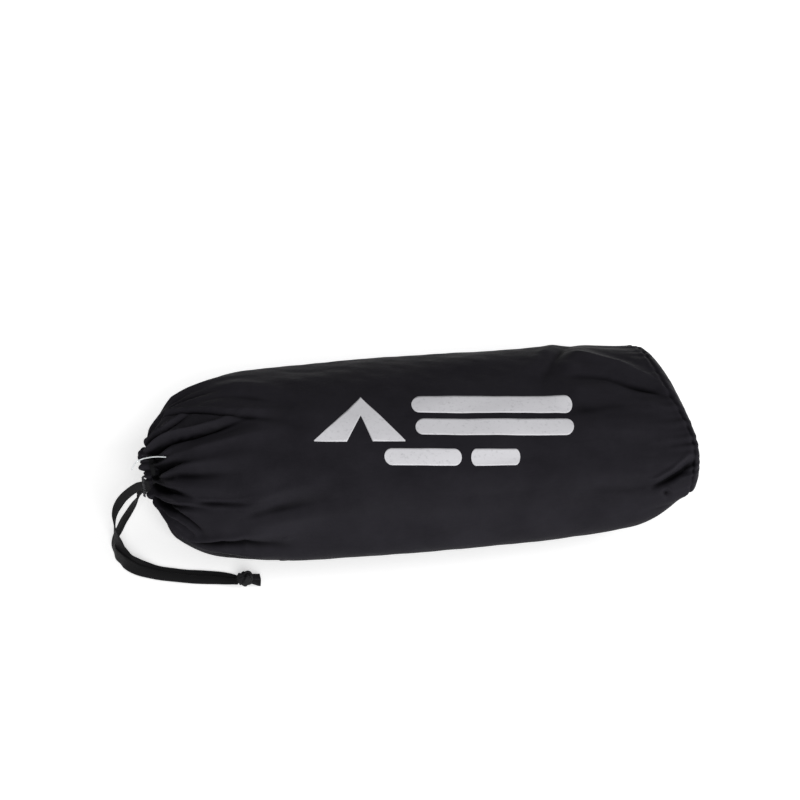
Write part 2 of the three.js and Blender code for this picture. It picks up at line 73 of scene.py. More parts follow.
# ---- Sizes taken from the frame, in millimetres -------------------------------------------------

TUBE_LOW, TUBE_HIGH = box_mm("sack_tube")
_, PANEL_HIGH = box_mm("sack_end_panel")
CHANNEL_LOW, CHANNEL_HIGH = box_mm("drawcord_channel")
ROLL_LOW, ROLL_HIGH = box_mm("bivy_upper")

SHOULDER_X = TUBE_LOW[0]  # where the gathers have run out
PANEL_X = TUBE_HIGH[0]  # seam of the end panel
CROWN_X = PANEL_HIGH[0]
HEM_X = (CHANNEL_LOW[0] + CHANNEL_HIGH[0]) / 2
NECK_Y = (CHANNEL_LOW[1] + CHANNEL_HIGH[1]) / 2
NECK_Z = (CHANNEL_LOW[2] + CHANNEL_HIGH[2]) / 2
NECK_RADIUS = (CHANNEL_HIGH[2] - CHANNEL_LOW[2]) / 2 + 0.3
GATHER_X = CHANNEL_LOW[0] + 3.2  # front of the gathered dome
BULGE = CROWN_X - PANEL_X  # how far the end stands out past its seam

# Reach of the sack at the shoulder, in the middle and at the panel seam
HALF_WIDTH = (75.0, TUBE_HIGH[1], PANEL_HIGH[1])
TOP = (TUBE_HIGH[2], TUBE_HIGH[2] - 5.7, PANEL_HIGH[2])
WAIST = 0.427  # share of the height at which the section is widest
FOOT_SINK = 2.5  # how far the section is pressed flat where it rests
CLOTH = 0.4  # thickness of the nylon, a little thicker than real so that its edges show


# ---- Small helpers ------------------------------------------------------------------------------


def smooth(t):
    """0 before 0, 1 after 1, and an even curve between."""
    t = np.clip(t, 0, 1)
    return t * t * (3 - 2 * t)


def mix(a, b, t):
    return a + (b - a) * t


def power(value, exponent):
    return np.sign(value) * np.abs(value) ** exponent


def bell(value, middle, reach):
    """1 at the middle, and falling off evenly to both sides."""
    return np.exp(-(((value - middle) / reach) ** 2))


def unit(v):
    return v / np.maximum(np.linalg.norm(v, axis=-1, keepdims=True), 1e-9)


def together(*parts):
    """Numbers or grids that broadcast to one shape, side by side along a new last axis."""
    return np.stack(np.broadcast_arrays(*parts), -1)


def ripple(points, seed, scale, stretch=(1.0, 1.0, 1.0)):
    """Gentle unevenness from a few crossed waves, from about -1 to 1."""
    total = np.zeros(points.shape[:-1])
    for k in range(1, 8):
        turn, rise = 2.4 * k + seed, 1.1 * k + 0.7 * seed
        pitch = scale * (0.55 + 0.23 * ((k * 7 + seed) % 5))
        way = np.array([math.cos(turn) * math.cos(rise), math.sin(turn) * math.cos(rise),
                        math.sin(rise)])
        place = points @ (way * np.array(stretch))
        total = total + np.sin(place * 2 * math.pi / pitch + 1.7 * seed * k)
    return total / 3.6


def new_object(name, mesh, *materials):
    piece = bpy.data.objects.new(name, mesh)
    bpy.context.scene.collection.objects.link(piece)
    for material in materials:
        mesh.materials.append(material)
    return piece


def mesh_of(name, points, faces, uv=None, normals=None):
    """A smooth mesh from points in millimetres. uv holds one pair for each point."""
    mesh = bpy.data.meshes.new(name)
    mesh.from_pydata((np.asarray(points) * MM).tolist(), [], faces)
    mesh.polygons.foreach_set("use_smooth", [True] * len(mesh.polygons))
    if uv is not None:
        layer = mesh.uv_layers.new(name="UVMap")
        corner = np.zeros(len(mesh.loops), np.int32)
        mesh.loops.foreach_get("vertex_index", corner)
        layer.data.foreach_set("uv", (np.asarray(uv) * MM)[corner].astype(np.float32).ravel())
    if normals is not None:
        mesh.normals_split_custom_set_from_vertices(np.asarray(normals).tolist())
    mesh.update()
    return mesh


def grid_faces(rows, columns, first=0, around=True, flip=False):
    """Quads of a grid whose rows may close round."""
    faces = []
    for i in range(rows - 1):
        for j in range(columns if around else columns - 1):
            k = (j + 1) % columns
            quad = [first + i * columns + j, first + i * columns + k,
                    first + (i + 1) * columns + k, first + (i + 1) * columns + j]
            faces.append(quad[::-1] if flip else quad)
    return faces


def point_attribute(mesh, name, values):
    attribute = mesh.attributes.new(name, "FLOAT", "POINT")
    attribute.data.foreach_set("value", np.asarray(values, np.float32).ravel())


def attach(piece, body, node):
    """Makes a piece move with a body, and hides the CAD node that it stands for."""
    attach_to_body(piece, body)
    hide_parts(node)


def join(pieces, name):
    """Makes one object of several, under its own name."""
    bpy.ops.object.select_all(action="DESELECT")
    for piece in pieces:
        piece.select_set(True)
    bpy.context.view_layer.objects.active = pieces[0]
    bpy.ops.object.join()
    pieces[0].name = name
    return pieces[0]


# ---- Camera, light and floor --------------------------------------------------------------------

CAMERA_AZIMUTH = -9.57
CAMERA_ELEVATION = 34.85
CAMERA_DISTANCE = 1.2088
CAMERA_TARGET = Vector((-0.0004, 0.0599, 0.030))
LENS_MM, SENSOR_MM = 85, 36
WORLD_LIGHT = 0.3
FLOOR_HALF = 40  # metres, so that its edge is out of sight
FLOOR_GLOW = 0.46


def make_camera():
    azimuth, elevation = math.radians(CAMERA_AZIMUTH), math.radians(CAMERA_ELEVATION)
    back = Vector((
        math.sin(azimuth) * math.cos(elevation),
        -math.cos(azimuth) * math.cos(elevation),
        math.sin(elevation),
    ))
    data = bpy.data.cameras.new("camera")
    data.lens = LENS_MM
    data.sensor_width = SENSOR_MM
    camera = bpy.data.objects.new("camera", data)
    bpy.context.scene.collection.objects.link(camera)
    camera.location = CAMERA_TARGET + back * CAMERA_DISTANCE
    camera.rotation_euler = (-back).to_track_quat("-Z", "Y").to_euler()
    bpy.context.scene.camera = camera


def make_light(name, direction, strength, spread_degrees):
    """A broad soft light from a direction, the same all over the floor."""
    data = bpy.data.lights.new(name, "SUN")
    data.energy = strength
    data.angle = math.radians(spread_degrees)
    light = bpy.data.objects.new(name, data)
    bpy.context.scene.collection.objects.link(light)
    light.rotation_euler = (-Vector(direction)).to_track_quat("-Z", "Y").to_euler()


def make_studio():
    scene = bpy.context.scene
    scene.view_settings.view_transform = "Standard"
    world = bpy.data.worlds.new("studio")
    world.use_nodes = True
    background = world.node_tree.nodes["Background"]
    background.inputs["Color"].default_value = (1, 1, 1, 1)
    background.inputs["Strength"].default_value = WORLD_LIGHT
    scene.world = world
    make_light("key_front", (0.05, -1.0, 0.52), 2.3, 26)
    make_light("side_right", (1.0, -0.3, 0.35), 1.7, 30)

    half = FLOOR_HALF
    mesh = bpy.data.meshes.new("studio_floor")
    corners = [(-half, -half, 0), (half, -half, 0), (half, half, 0), (-half, half, 0)]
    mesh.from_pydata(corners, [], [(0, 1, 2, 3)])
    floor = new_object("studio_floor", mesh, floor_material())


# ---- Materials ----------------------------------------------------------------------------------


class Nodes:
    """A new material, with short calls to add and link its nodes."""

    def __init__(self, name):
        self.material = bpy.data.materials.new(name)
        self.material.use_nodes = True
        self.tree = self.material.node_tree
        self.shader = self.tree.nodes["Principled BSDF"]

    def add(self, kind, values=None, **settings):
        node = self.tree.nodes.new(kind)
        for key, value in settings.items():
            setattr(node, key, value)
        for key, value in (values or {}).items():
            self.feed(node.inputs[key], value)
        return node

    def feed(self, socket, value):
        if isinstance(value, bpy.types.NodeSocket):
            self.tree.links.new(value, socket)
        else:
            socket.default_value = value

    def math(self, operation, a, b=0.0):
        return self.add("ShaderNodeMath", {0: a, 1: b}, operation=operation).outputs[0]

    def blend(self, share, a, b):
        node = self.add("ShaderNodeMix", {0: share, 6: a, 7: b}, data_type="RGBA")
        return node.outputs[2]

    def ramp(self, value, low, high):
        node = self.add("ShaderNodeMapRange", {0: value, 1: low, 2: high})
        return node.outputs[0]

    def noise(self, place, scale, detail=2.0, roughness=0.5):
        values = {"Vector": place, "Scale": scale, "Detail": detail, "Roughness": roughness}
        return self.add("ShaderNodeTexNoise", values).outputs["Fac"]

    def place(self):
        return self.add("ShaderNodeTexCoord").outputs["Object"]

    def uv(self):
        split = self.add("ShaderNodeSeparateXYZ", {0: self.add("ShaderNodeTexCoord").outputs["UV"]})
        return split.outputs[0], split.outputs[1]

    def wave(self, along, pitch_mm, shift=0.0):
        """A sine of that pitch along a distance in metres, from -1 to 1."""
        turned = self.math("MULTIPLY", along, 2 * math.pi / (pitch_mm * MM))
        return self.math("SINE", self.math("ADD", turned, shift))

    def bump(self, height, depth_mm, strength=1.0, under=None):
        values = {"Height": height, "Distance": depth_mm * MM, "Strength": strength}
        if under is not None:
            values["Normal"] = under
        return self.add("ShaderNodeBump", values).outputs["Normal"]

    def finish(self, **inputs):
        for key, value in inputs.items():
            self.feed(self.shader.inputs[key.replace("_", " ")], value)
        return self.material


def floor_material():
    """A white light table: it glows a little, so shadows on it stay faint."""
    m = Nodes("studio_floor")
    return m.finish(Base_Color=(0.93, 0.93, 0.93, 1), Roughness=0.9,
                    Emission_Color=(1, 1, 1, 1), Emission_Strength=FLOOR_GLOW)


def plain_weave(m, pitch_mm):
    """Height of a plain weave: threads cross over and under, from -1 to 1."""
    u, v = m.uv()
    return m.math("MULTIPLY", m.wave(u, pitch_mm), m.wave(v, pitch_mm))


def nylon(name, color, light, weave_mm, roughness=0.5):
    """Matt plain-weave nylon: uneven tone, with painted shade deep in folds and a painted highlight
    along ridges.
    """
    m = Nodes(name)
    place = m.place()
    tone = m.ramp(m.noise(place, 34, 4.0, 0.6), 0.3, 0.7)
    u, v = m.uv()
    streaks = m.add("ShaderNodeCombineXYZ", {0: m.math("MULTIPLY", u, 0.12), 1: v}).outputs[0]
    threads = m.ramp(m.noise(streaks, 900, 2.0, 0.7), 0.3, 0.7)
    base = m.blend(m.math("MULTIPLY", tone, 0.55), color, light)
    base = m.blend(m.math("MULTIPLY", threads, 0.16), base, light)
    # the mesh's attribute for painted light in the folds: 0 deep in a fold, 0.5 on flat cloth, 1 along a
    # ridge
    painted_light = m.add("ShaderNodeAttribute", attribute_name="painted_light").outputs["Fac"]
    # painted highlight: the colour is paler along ridges
    base = m.blend(m.math("MULTIPLY", m.ramp(painted_light, 0.5, 1.0), 0.35), base, light)
    # painted shade: the colour is darker deep in folds, down to near-black
    deep = [c * 0.18 for c in color[:3]] + [1]
    base = m.blend(m.ramp(painted_light, 0.5, 0.0), base, deep)
    crumple = m.bump(m.noise(place, 120, 3.0, 0.55), 0.9, 0.4)
    weave = m.bump(plain_weave(m, weave_mm), 0.012, 0.8, crumple)
    rough = m.math("ADD", m.math("MULTIPLY", tone, 0.1), roughness - 0.05)
    return m.finish(Base_Color=base, Roughness=rough, Normal=weave, Specular_IOR_Level=0.015)


def woven_tape(name, color, light, rib_mm=1.1):
    """Flat woven tape: fine chevron ribs across it and warp threads along it, with a painted highlight
    on the raised threads and an uneven tone.
    """
    m = Nodes(name)
    u, v = m.uv()
    slant = m.math("ADD", u, m.math("MULTIPLY", m.math("ABSOLUTE", v), 0.9))
    ribs = m.wave(slant, rib_mm)
    warp = m.wave(v, 0.75)
    height = m.math("ADD", m.math("MULTIPLY", ribs, 0.6), m.math("MULTIPLY", warp, 0.4))
    tone = m.ramp(m.noise(m.place(), 300, 3.0, 0.6), 0.3, 0.75)
    uneven = m.math("ADD", m.math("MULTIPLY", tone, 0.5), 0.5)
    # painted highlight: the colour is paler where the ribs and warp stand highest, varied by the uneven
    # tone
    thread_highlight_and_tone = m.math("MULTIPLY", m.ramp(height, -0.6, 1.0), uneven)
    return m.finish(
        Base_Color=m.blend(thread_highlight_and_tone, color, light),
        Roughness=0.72,
        Normal=m.bump(height, 0.12, 0.9),
        Sheen_Weight=0.03,
        Sheen_Roughness=0.4,
        Specular_IOR_Level=0.2,
    )


def ink(name, color):
    """Screen print on cloth: the weave still shows, and the film is slightly worn."""
    m = Nodes(name)
    wear = m.ramp(m.noise(m.place(), 420, 4.0, 0.7), 0.25, 0.45)
    tired = [c * 0.72 for c in color[:3]] + [1]
    normal = m.bump(plain_weave(m, 0.7), 0.03, 0.7)
    return m.finish(Base_Color=m.blend(wear, tired, color), Roughness=0.7, Normal=normal)


def thread(name, color):
    """Twisted thread: slanting strands and an uneven tone."""
    m = Nodes(name)
    u, _ = m.uv()
    tone = m.ramp(m.noise(m.place(), 900, 2.0), 0.3, 0.7)
    dark = [c * 0.6 for c in color[:3]] + [1]
    normal = m.bump(m.wave(u, 0.6), 0.05, 0.8)
    return m.finish(Base_Color=m.blend(tone, dark, color), Roughness=0.75, Normal=normal)


def clear_nylon(name):
    """Clear filament with a little haze in it."""
    m = Nodes(name)
    haze = m.ramp(m.noise(m.place(), 500, 2.0), 0.3, 0.7)
    color = m.blend(haze, (0.82, 0.86, 0.88, 1), (0.95, 0.97, 0.98, 1))
    return m.finish(Base_Color=color, Roughness=0.28, Transmission_Weight=0.35, IOR=1.53)


def moulded(name, color, roughness, grain=900, metallic=0.0):
    """Moulded, drawn or cast stuff: a fine grain, and tone that is never quite even."""
    m = Nodes(name)
    place = m.place()
    tone = m.ramp(m.noise(place, 60, 3.0), 0.3, 0.7)
    dark = [c * 0.82 for c in color[:3]] + [1]
    scuffs = m.ramp(m.noise(place, grain, 4.0, 0.7), 0.35, 0.65)
    rough = m.math("ADD", m.math("MULTIPLY", scuffs, 0.15), roughness - 0.07)
    normal = m.bump(scuffs, 0.02, 0.5)
    return m.finish(
        Base_Color=m.blend(tone, dark, color), Roughness=rough, Metallic=metallic, Normal=normal
    )


SACK_CLOTH = nylon("sack_nylon", (0.0108, 0.0101, 0.0126, 1), (0.0208, 0.0196, 0.0240, 1), 0.5, 0.5)
CORD_TAPE = woven_tape("drawcord_tape", (0.003, 0.003, 0.0035, 1), (0.011, 0.0107, 0.012, 1))
PRINT = ink("print_grey", (0.56, 0.555, 0.58, 1))
HOLE_THREAD = thread("buttonhole_silk", (0.05, 0.05, 0.054, 1))
FILAMENT = clear_nylon("tag_filament")
FLOOR_CLOTH = nylon("floor_taffeta", (0.03, 0.034, 0.04, 1), (0.07, 0.076, 0.085, 1), 0.7, 0.5)
UPPER_CLOTH = nylon("upper_ripstop", (0.10, 0.13, 0.055, 1), (0.19, 0.23, 0.11, 1), 0.9, 0.6)
MESH_CLOTH = nylon("insect_mesh", (0.006, 0.006, 0.007, 1), (0.02, 0.02, 0.022, 1), 1.2, 0.9)
ZIP_TAPE = woven_tape("zip_tape", (0.006, 0.006, 0.007, 1), (0.03, 0.03, 0.032, 1), 0.9)
ZIP_COIL = moulded("zip_coil", (0.016, 0.016, 0.017, 1), 0.4)
ZIP_METAL = moulded("zip_metal", (0.16, 0.165, 0.17, 1), 0.38, 500, 0.8)
WEBBING = woven_tape("stake_webbing", (0.006, 0.006, 0.007, 1), (0.03, 0.03, 0.032, 1), 1.4)
POLE_PLASTIC = moulded("pole_acetal", (0.30, 0.285, 0.25, 1), 0.42)
ALUMINIUM = moulded("drawn_aluminium", (0.42, 0.43, 0.45, 1), 0.34, 700, 1.0)
ELASTIC = woven_tape("shock_cord", (0.10, 0.10, 0.10, 1), (0.32, 0.32, 0.30, 1), 1.0)


# ---- The sack's even shape ----------------------------------------------------------------------

DOME_CURVE = 0.84  # below 1 the dome opens more slowly behind the neck than a quarter circle does
GIRTH_RADIUS = 78.0  # turns a direction round the sack into a distance along its cloth

# What makes the sewn end uneven. Directions are in degrees round the sack, 0 at +Y and 90 at the top
ROUNDER_FROM = 95  # x from which the foot is less pressed flat
CORNERS_FROM = 112  # x from which the lower corners are pressed in and up
NEAR_CORNER = (208, 12, 15)  # direction, and how far it moves in Y and Z
FAR_CORNER = (330, -8, 9)
CORNER_REACH = 34
SWELLING = (104, 58)  # x and direction of the place where the top swells before the end
SWELLING_REACH = (30, 34)
SEAM_BOW = (130, 26, 5.5)  # the seam bows outwards: direction, reach and distance
SEAM_BOW_FROM = 100


def swell(values, t):
    """A quadratic through its values at the shoulder, the middle and the panel seam."""
    shoulder, middle, panel = values
    return shoulder * (1 - t) * (1 - 2 * t) + 4 * middle * t * (1 - t) + panel * t * (2 * t - 1)


def dome_x(share):
    """How far back the dome is where it has opened by that share of a quarter turn."""
    return GATHER_X + (SHOULDER_X - GATHER_X) * (1 - np.cos(share * math.pi / 2)) ** DOME_CURVE


def stations(x):
    """Centre, half width, bottom and top of the sack at each x."""
    rise = np.clip((x - GATHER_X) / (SHOULDER_X - GATHER_X), 0, 1) ** (1 / DOME_CURVE)
    opened = np.sin(np.arccos(1 - rise))
    t = (x - SHOULDER_X) / (PANEL_X - SHOULDER_X)
    tube_width, tube_top = swell(HALF_WIDTH, t), swell(TOP, t)
    in_dome = x < SHOULDER_X
    centre = np.where(in_dome, NECK_Y * (1 - opened), 0)
    width = np.where(in_dome, mix(NECK_RADIUS, HALF_WIDTH[0], opened), tube_width)
    top = np.where(in_dome, mix(NECK_Z + NECK_RADIUS, TOP[0], opened), tube_top)
    bottom = np.where(in_dome, (NECK_Z - NECK_RADIUS) * (1 - opened), 0)
    fall = np.sqrt(1 - np.clip((x - PANEL_X) / BULGE, 0, 1) ** 2)
    middle = TOP[2] * 0.45
    past = x > PANEL_X
    width = np.where(past, HALF_WIDTH[2] * fall, width)
    top = np.where(past, mix(middle, TOP[2], fall), top)
    bottom = np.where(past, middle * (1 - fall), bottom)
    return centre, width, bottom, top


def even_point(x, angle):
    """A point on the even shape. angle is in radians, 0 at +Y and a quarter turn at the top."""
    x, angle = np.broadcast_arrays(np.asarray(x, float), np.asarray(angle, float))
    centre, width, bottom, top = stations(x)
    waist = bottom + (top - bottom) * WAIST
    late = smooth((x - ROUNDER_FROM) / (PANEL_X - ROUNDER_FROM))
    up = np.sin(angle)
    y = centre + width * power(np.cos(angle), 0.9)
    above = waist + (top - waist) * power(up, 0.95)
    below = waist + (waist - bottom + FOOT_SINK * (1 - late)) * power(up, mix(0.75, 1.0, late))
    z = np.where(up >= 0, above, np.maximum(below, bottom))
    degrees = np.degrees(angle) % 360
    end = smooth((x - CORNERS_FROM) / (CROWN_X - CORNERS_FROM)) ** 1.3
    to_middle = np.sqrt(1 - np.clip((x - PANEL_X) / BULGE, 0, 1) ** 2)
    for (corner, move_y, move_z), sharper in ((NEAR_CORNER, 1.4), (FAR_CORNER, 1.0)):
        pressed = end**sharper * bell(degrees, corner, CORNER_REACH) * to_middle
        y = y + move_y * pressed
        z = z + move_z * pressed
    swollen = bell(x, SWELLING[0], SWELLING_REACH[0]) * bell(degrees, SWELLING[1], SWELLING_REACH[1])
    z = z + 2.6 * swollen
    y = y + 0.8 * swollen
    bow, reach, distance = SEAM_BOW
    by_seam = smooth((x - SEAM_BOW_FROM) / (PANEL_X - SEAM_BOW_FROM)) * smooth((CROWN_X - x) / BULGE)
    bowed = x + distance * bell(degrees, bow, reach) * by_seam
    return together(bowed, y, z)


# ---- Folds --------------------------------------------------------------------------------------

# Each fold is a lean, then its course: x, degrees round the sack, depth and half width. A depth above
# 0 is a valley, and below 0 a ridge. The lean lifts the cloth on one side of the fold.
GATHER_FOLDS = [
    # near side and top, from the far top round to the floor
    (0.0, [(-163, 30, 3.6, 2.6), (-152, 31, 3.4, 3.4), (-136, 34, 1.5, 6), (-112, 36, 0.2, 9)]),
    (0.3, [(-163, 43, 4.0, 2.4), (-155, 42, 4.0, 2.8), (-146, 41, 2.6, 3.4), (-130, 40, 0.2, 6)]),
    (-0.3, [(-163, 57, 4.4, 2.4), (-154, 62, 3.8, 2.6), (-141, 66, 2.4, 3.0), (-122, 72, 1.2, 4),
            (-97, 78, 0.4, 7)]),
    (0.3, [(-163, 67, 4.6, 2.2), (-152, 68, 3.0, 2.2), (-143, 79, 3.2, 1.9), (-129, 88, 3.4, 2.0),
           (-116, 93, 3.2, 2.4), (-100, 97, 2.2, 3.6), (-84, 100, 1.0, 6), (-64, 103, 0.2, 10)]),
    (0.6, [(-163, 82, 5.6, 2.2), (-159, 86, 6.4, 2.2), (-154, 90, 6.2, 2.0), (-148, 88, 4.2, 2.0),
           (-141, 86, 2.0, 2.2), (-134, 85, 0.4, 3)]),
    (0.9, [(-163, 104, 6.8, 2.6), (-157, 102, 7.6, 2.6), (-149, 101, 6.6, 2.4), (-136, 102, 5.4, 2.4),
           (-123, 101, 3.8, 2.8), (-112, 99, 2.0, 3.4), (-98, 97, 0.5, 6)]),
    (0.0, [(-163, 116, 3.2, 1.8), (-155, 115, 2.4, 2.0), (-148, 112, 0.5, 3)]),
    (-0.5, [(-163, 137, 6.5, 3.0), (-157, 129, 7.2, 3.4), (-151, 124, 5.4, 3.6), (-144, 121, 2.2, 4),
            (-137, 120, 0.5, 5)]),
    (0.4, [(-163, 144, 4.4, 2.0), (-156, 138, 3.4, 2.2), (-149, 132, 2.8, 3.2), (-138, 132, 2.4, 4.6),
           (-122, 131, 1.2, 7), (-100, 131, 0.2, 10)]),
    (-0.3, [(-163, 158, 6.0, 2.2), (-158, 154, 5.8, 2.2), (-151, 150, 4.0, 2.4), (-143, 150, 1.8, 3),
            (-134, 151, 0.4, 4)]),
    (0.4, [(-163, 170, 5.4, 2.0), (-158, 170, 5.0, 1.9), (-152, 165, 3.8, 1.9), (-145, 160, 2.6, 1.8),
           (-136, 157, 1.3, 2), (-129, 155, 0.4, 3)]),
    (-0.4, [(-163, 181, 4.6, 2.0), (-157, 174, 4.4, 1.8), (-150, 170, 4.0, 1.8), (-144, 172, 3.6, 1.8),
            (-139, 177, 2.4, 2.4), (-134, 182, 0.8, 4)]),
    (0.0, [(-156, 181, 1.2, 1.6), (-150, 180, 2.4, 1.6), (-144, 181, 1.6, 1.8), (-139, 182, 0.4, 2.4)]),
    (0.9, [(-163, 193, 4.8, 2.4), (-152, 194, 4.0, 2.6), (-142, 195, 4.8, 3.0), (-135, 188, 4.8, 2.8),
           (-125, 182, 4.4, 3.0), (-113, 180, 3.6, 3.6), (-98, 181, 2.0, 6), (-76, 184, 0.4, 10)]),
    # underneath and far side
    (0.2, [(-163, 214, 5.0, 2.8), (-150, 211, 3.4, 3.6), (-132, 208, 0.8, 6)]),
    (0.0, [(-163, 234, 5.0, 2.8), (-148, 233, 3.6, 4), (-122, 232, 0.4, 8)]),
    (-0.3, [(-163, 254, 4.6, 2.8), (-148, 256, 3.2, 4), (-126, 260, 0.4, 8)]),
    (0.3, [(-163, 274, 5.0, 2.8), (-148, 277, 3.6, 4), (-120, 281, 0.4, 8)]),
    (0.0, [(-163, 295, 4.4, 2.6), (-148, 296, 3.0, 3.6), (-128, 297, 0.4, 7)]),
    (-0.4, [(-163, 314, 5.4, 2.6), (-150, 317, 4.8, 3.0), (-128, 323, 3.0, 4), (-96, 330, 0.3, 9)]),
    (0.3, [(-163, 333, 4.4, 2.4), (-152, 334, 3.4, 2.8), (-134, 335, 0.5, 5)]),
    (0.5, [(-163, 350, 5.6, 2.6), (-150, 350, 5.2, 2.8), (-128, 352, 3.4, 4), (-90, 354, 0.3, 10)]),
    (0.0, [(-163, 371, 4.6, 2.4), (-150, 372, 4.0, 2.8), (-130, 373, 1.6, 4), (-106, 374, 0.2, 8)]),
]

BODY_FOLDS = [
    # ridges between the gathers
    (0.0, [(-153, 50, -1.5, 4), (-144, 50, -3.4, 4.6), (-132, 53, -2.4, 7), (-104, 60, -0.3, 12)]),
    (0.0, [(-158, 93, -1.2, 3), (-146, 94, -1.5, 4), (-134, 95, -0.6, 6)]),
    (0.0, [(-134, 76, 0.3, 5), (-116, 80, 1.5, 6), (-96, 86, 2.0, 7), (-74, 92, 0.6, 11)]),
    (0.0, [(-126, 68, -0.6, 6), (-108, 72, -1.8, 7), (-84, 77, -0.4, 10)]),
    # shelves below the long creases: each ends in a ridge that runs back along the body
    (0.3, [(-150, 116, -0.4, 4), (-134, 113, -1.9, 5), (-116, 111, -2.2, 5.6), (-100, 109, -1.3, 7),
           (-80, 108, -0.3, 11)]),
    (0.0, [(-152, 126, -0.5, 4), (-140, 125, -1.4, 5), (-122, 124, -1.1, 7), (-98, 123, -0.3, 11)]),
    (0.0, [(-142, 154, 0.8, 1.7), (-135, 153, 2.2, 1.6), (-126, 152, 2.2, 1.6), (-114, 151.5, 1.6, 1.8),
           (-103, 151, 0.5, 3)]),
    (0.0, [(-146, 142, -0.6, 4), (-130, 143, -1.0, 6), (-108, 143, -0.3, 10)]),
    (0.4, [(-120, 164, 0.5, 5), (-106, 159, 1.8, 5), (-90, 155, 2.4, 6), (-70, 151, 1.2, 9),
           (-44, 148, 0.3, 14)]),
    (0.0, [(-112, 170, -0.5, 5), (-92, 166, -1.6, 7), (-66, 162, -1.0, 10), (-30, 160, -0.2, 16)]),
    # the lower near side is drawn in behind the last gathers, where nothing fills it
    (0.0, [(-140, 205, -0.8, 8), (-130, 206, 1.8, 9), (-120, 208, 4.0, 12), (-110, 209, 3.4, 12),
           (-98, 210, 1.4, 12), (-86, 210, 0.2, 12)]),
    # soft folds further back
    (0.0, [(-92, 126, 0.4, 10), (-66, 124, 1.1, 12), (-30, 121, 0.3, 18)]),
    (0.0, [(-100, 140, 0.3, 9), (-70, 138, 1.0, 11), (-20, 138, 0.2, 18)]),
    (0.0, [(-96, 58, 0.4, 9), (-60, 62, 0.9, 12), (-20, 66, 0.2, 18)]),
    # along the body
    (0.0, [(-50, 112, -0.3, 14), (0, 116, -0.8, 15), (60, 121, -0.3, 18)]),
    (0.2, [(-20, 150, 0.3, 9), (30, 153, 1.3, 10), (80, 150, 0.5, 12)]),
    (0.0, [(-40, 166, -0.3, 10), (10, 165, -1.1, 11), (70, 164, -0.4, 14)]),
    (0.0, [(10, 134, 0.2, 10), (50, 132, 0.8, 10), (100, 139, 0.2, 14)]),
    (0.0, [(-10, 75, 0.2, 12), (40, 78, 0.8, 14), (78, 84, 0.3, 16)]),
    # across the top near the far end, where the roll stops
    (0.3, [(70, 96, 0.5, 9), (86, 78, 1.9, 8), (98, 63, 2.8, 7), (110, 41, 1.4, 7), (114, 30, 0.4, 8)]),
    (0.0, [(100, 62, -0.8, 8), (114, 70, -2.6, 8), (130, 78, -2.8, 7), (145, 89, -1.6, 6),
           (153, 95, -0.4, 5)]),
    (0.4, [(84, 84, 0.5, 9), (102, 85, 2.0, 8), (118, 87, 2.6, 7), (134, 93, 2.8, 5),
           (143, 96, 2.6, 3.6), (154, 102, 1.4, 3)]),
    (0.0, [(120, 98, -0.5, 6), (138, 105, -1.4, 6), (152, 112, -0.5, 5)]),
    (0.0, [(80, 106, 0.5, 9), (98, 105, 1.6, 9), (116, 104, 1.3, 8), (134, 104, 0.4, 9)]),
    (0.0, [(90, 118, -0.5, 9), (116, 121, -1.4, 10), (142, 124, -0.5, 9)]),
    (0.7, [(124, 162, 0.6, 4), (131, 159, 3.0, 2.6), (139, 155, 4.4, 2.6), (147, 149, 3.8, 2.8),
           (156, 143, 1.2, 4)]),
    (0.0, [(128, 150, -0.6, 6), (140, 144, -1.6, 7), (152, 137, -0.5, 7)]),
    (0.4, [(133, 164, 0.8, 2.6), (136, 168, 2.8, 2.2), (139, 174, 1.0, 3)]),
    (0.0, [(82, 155, 0.4, 8), (98, 157, 1.2, 7), (112, 160, 1.4, 6), (122, 159, 1.6, 5),
           (132, 157, 0.6, 4)]),
    (0.0, [(116, 176, 0.3, 6), (134, 182, 1.5, 5), (150, 187, 0.9, 6)]),
    (0.0, [(96, 48, 0.3, 8), (122, 50, 1.2, 8), (148, 52, 0.8, 7)]),
    # far side
    (0.2, [(-128, 20, 0.6, 8), (-96, 18, 1.6, 10), (-50, 14, 0.3, 16)]),
    (0.0, [(-110, -8, 0.4, 9), (-70, -9, 1.3, 11), (-10, -4, 0.2, 16)]),
    (0.0, [(-80, 34, -0.4, 12), (-30, 30, -1.0, 14), (30, 28, -0.3, 18)]),
    (0.0, [(0, 12, 0.3, 10), (50, 8, 1.0, 12), (100, 14, 0.3, 16)]),
    (0.3, [(108, 30, 0.4, 7), (130, 25, 2.0, 5), (152, 20, 1.6, 4)]),
    (-0.3, [(116, 2, 0.5, 7), (136, -4, 2.0, 5), (152, -6, 1.6, 4)]),
]


def follow_course(points, normals, course):
    """Signed distance of each point from a course over the sack, and its depth and half width."""
    course = np.array(course, float)
    course[-1, 2] = 0
    if course[0, 0] > GATHER_X:
        course[0, 2] = 0
    # a few points between each pair keep the course on the curved cloth
    fine = np.linspace(0, len(course) - 1, (len(course) - 1) * 3 + 1)
    x, degrees, depth, width = (
        np.interp(fine, np.arange(len(course)), course[:, k]) for k in range(4)
    )
    line = even_point(x, np.radians(degrees))
    nearest = np.full(len(points), 1e9)
    signed, deep, wide = np.zeros((3, len(points)))
    for k in range(len(line) - 1):
        length = np.linalg.norm(line[k + 1] - line[k])
        way = (line[k + 1] - line[k]) / length
        t = np.clip((points - line[k]) @ way, 0, length)
        gap = points - (line[k] + t[:, None] * way)
        size = np.linalg.norm(gap, axis=-1)
        side = np.sign(np.einsum("nk,nk->n", np.cross(normals, way), gap))
        closer = size < nearest
        nearest = np.where(closer, size, nearest)
        signed = np.where(closer, size * side, signed)
        deep = np.where(closer, mix(depth[k], depth[k + 1], t / length), deep)
        wide = np.where(closer, mix(width[k], width[k + 1], t / length), wide)
    return signed, deep, wide


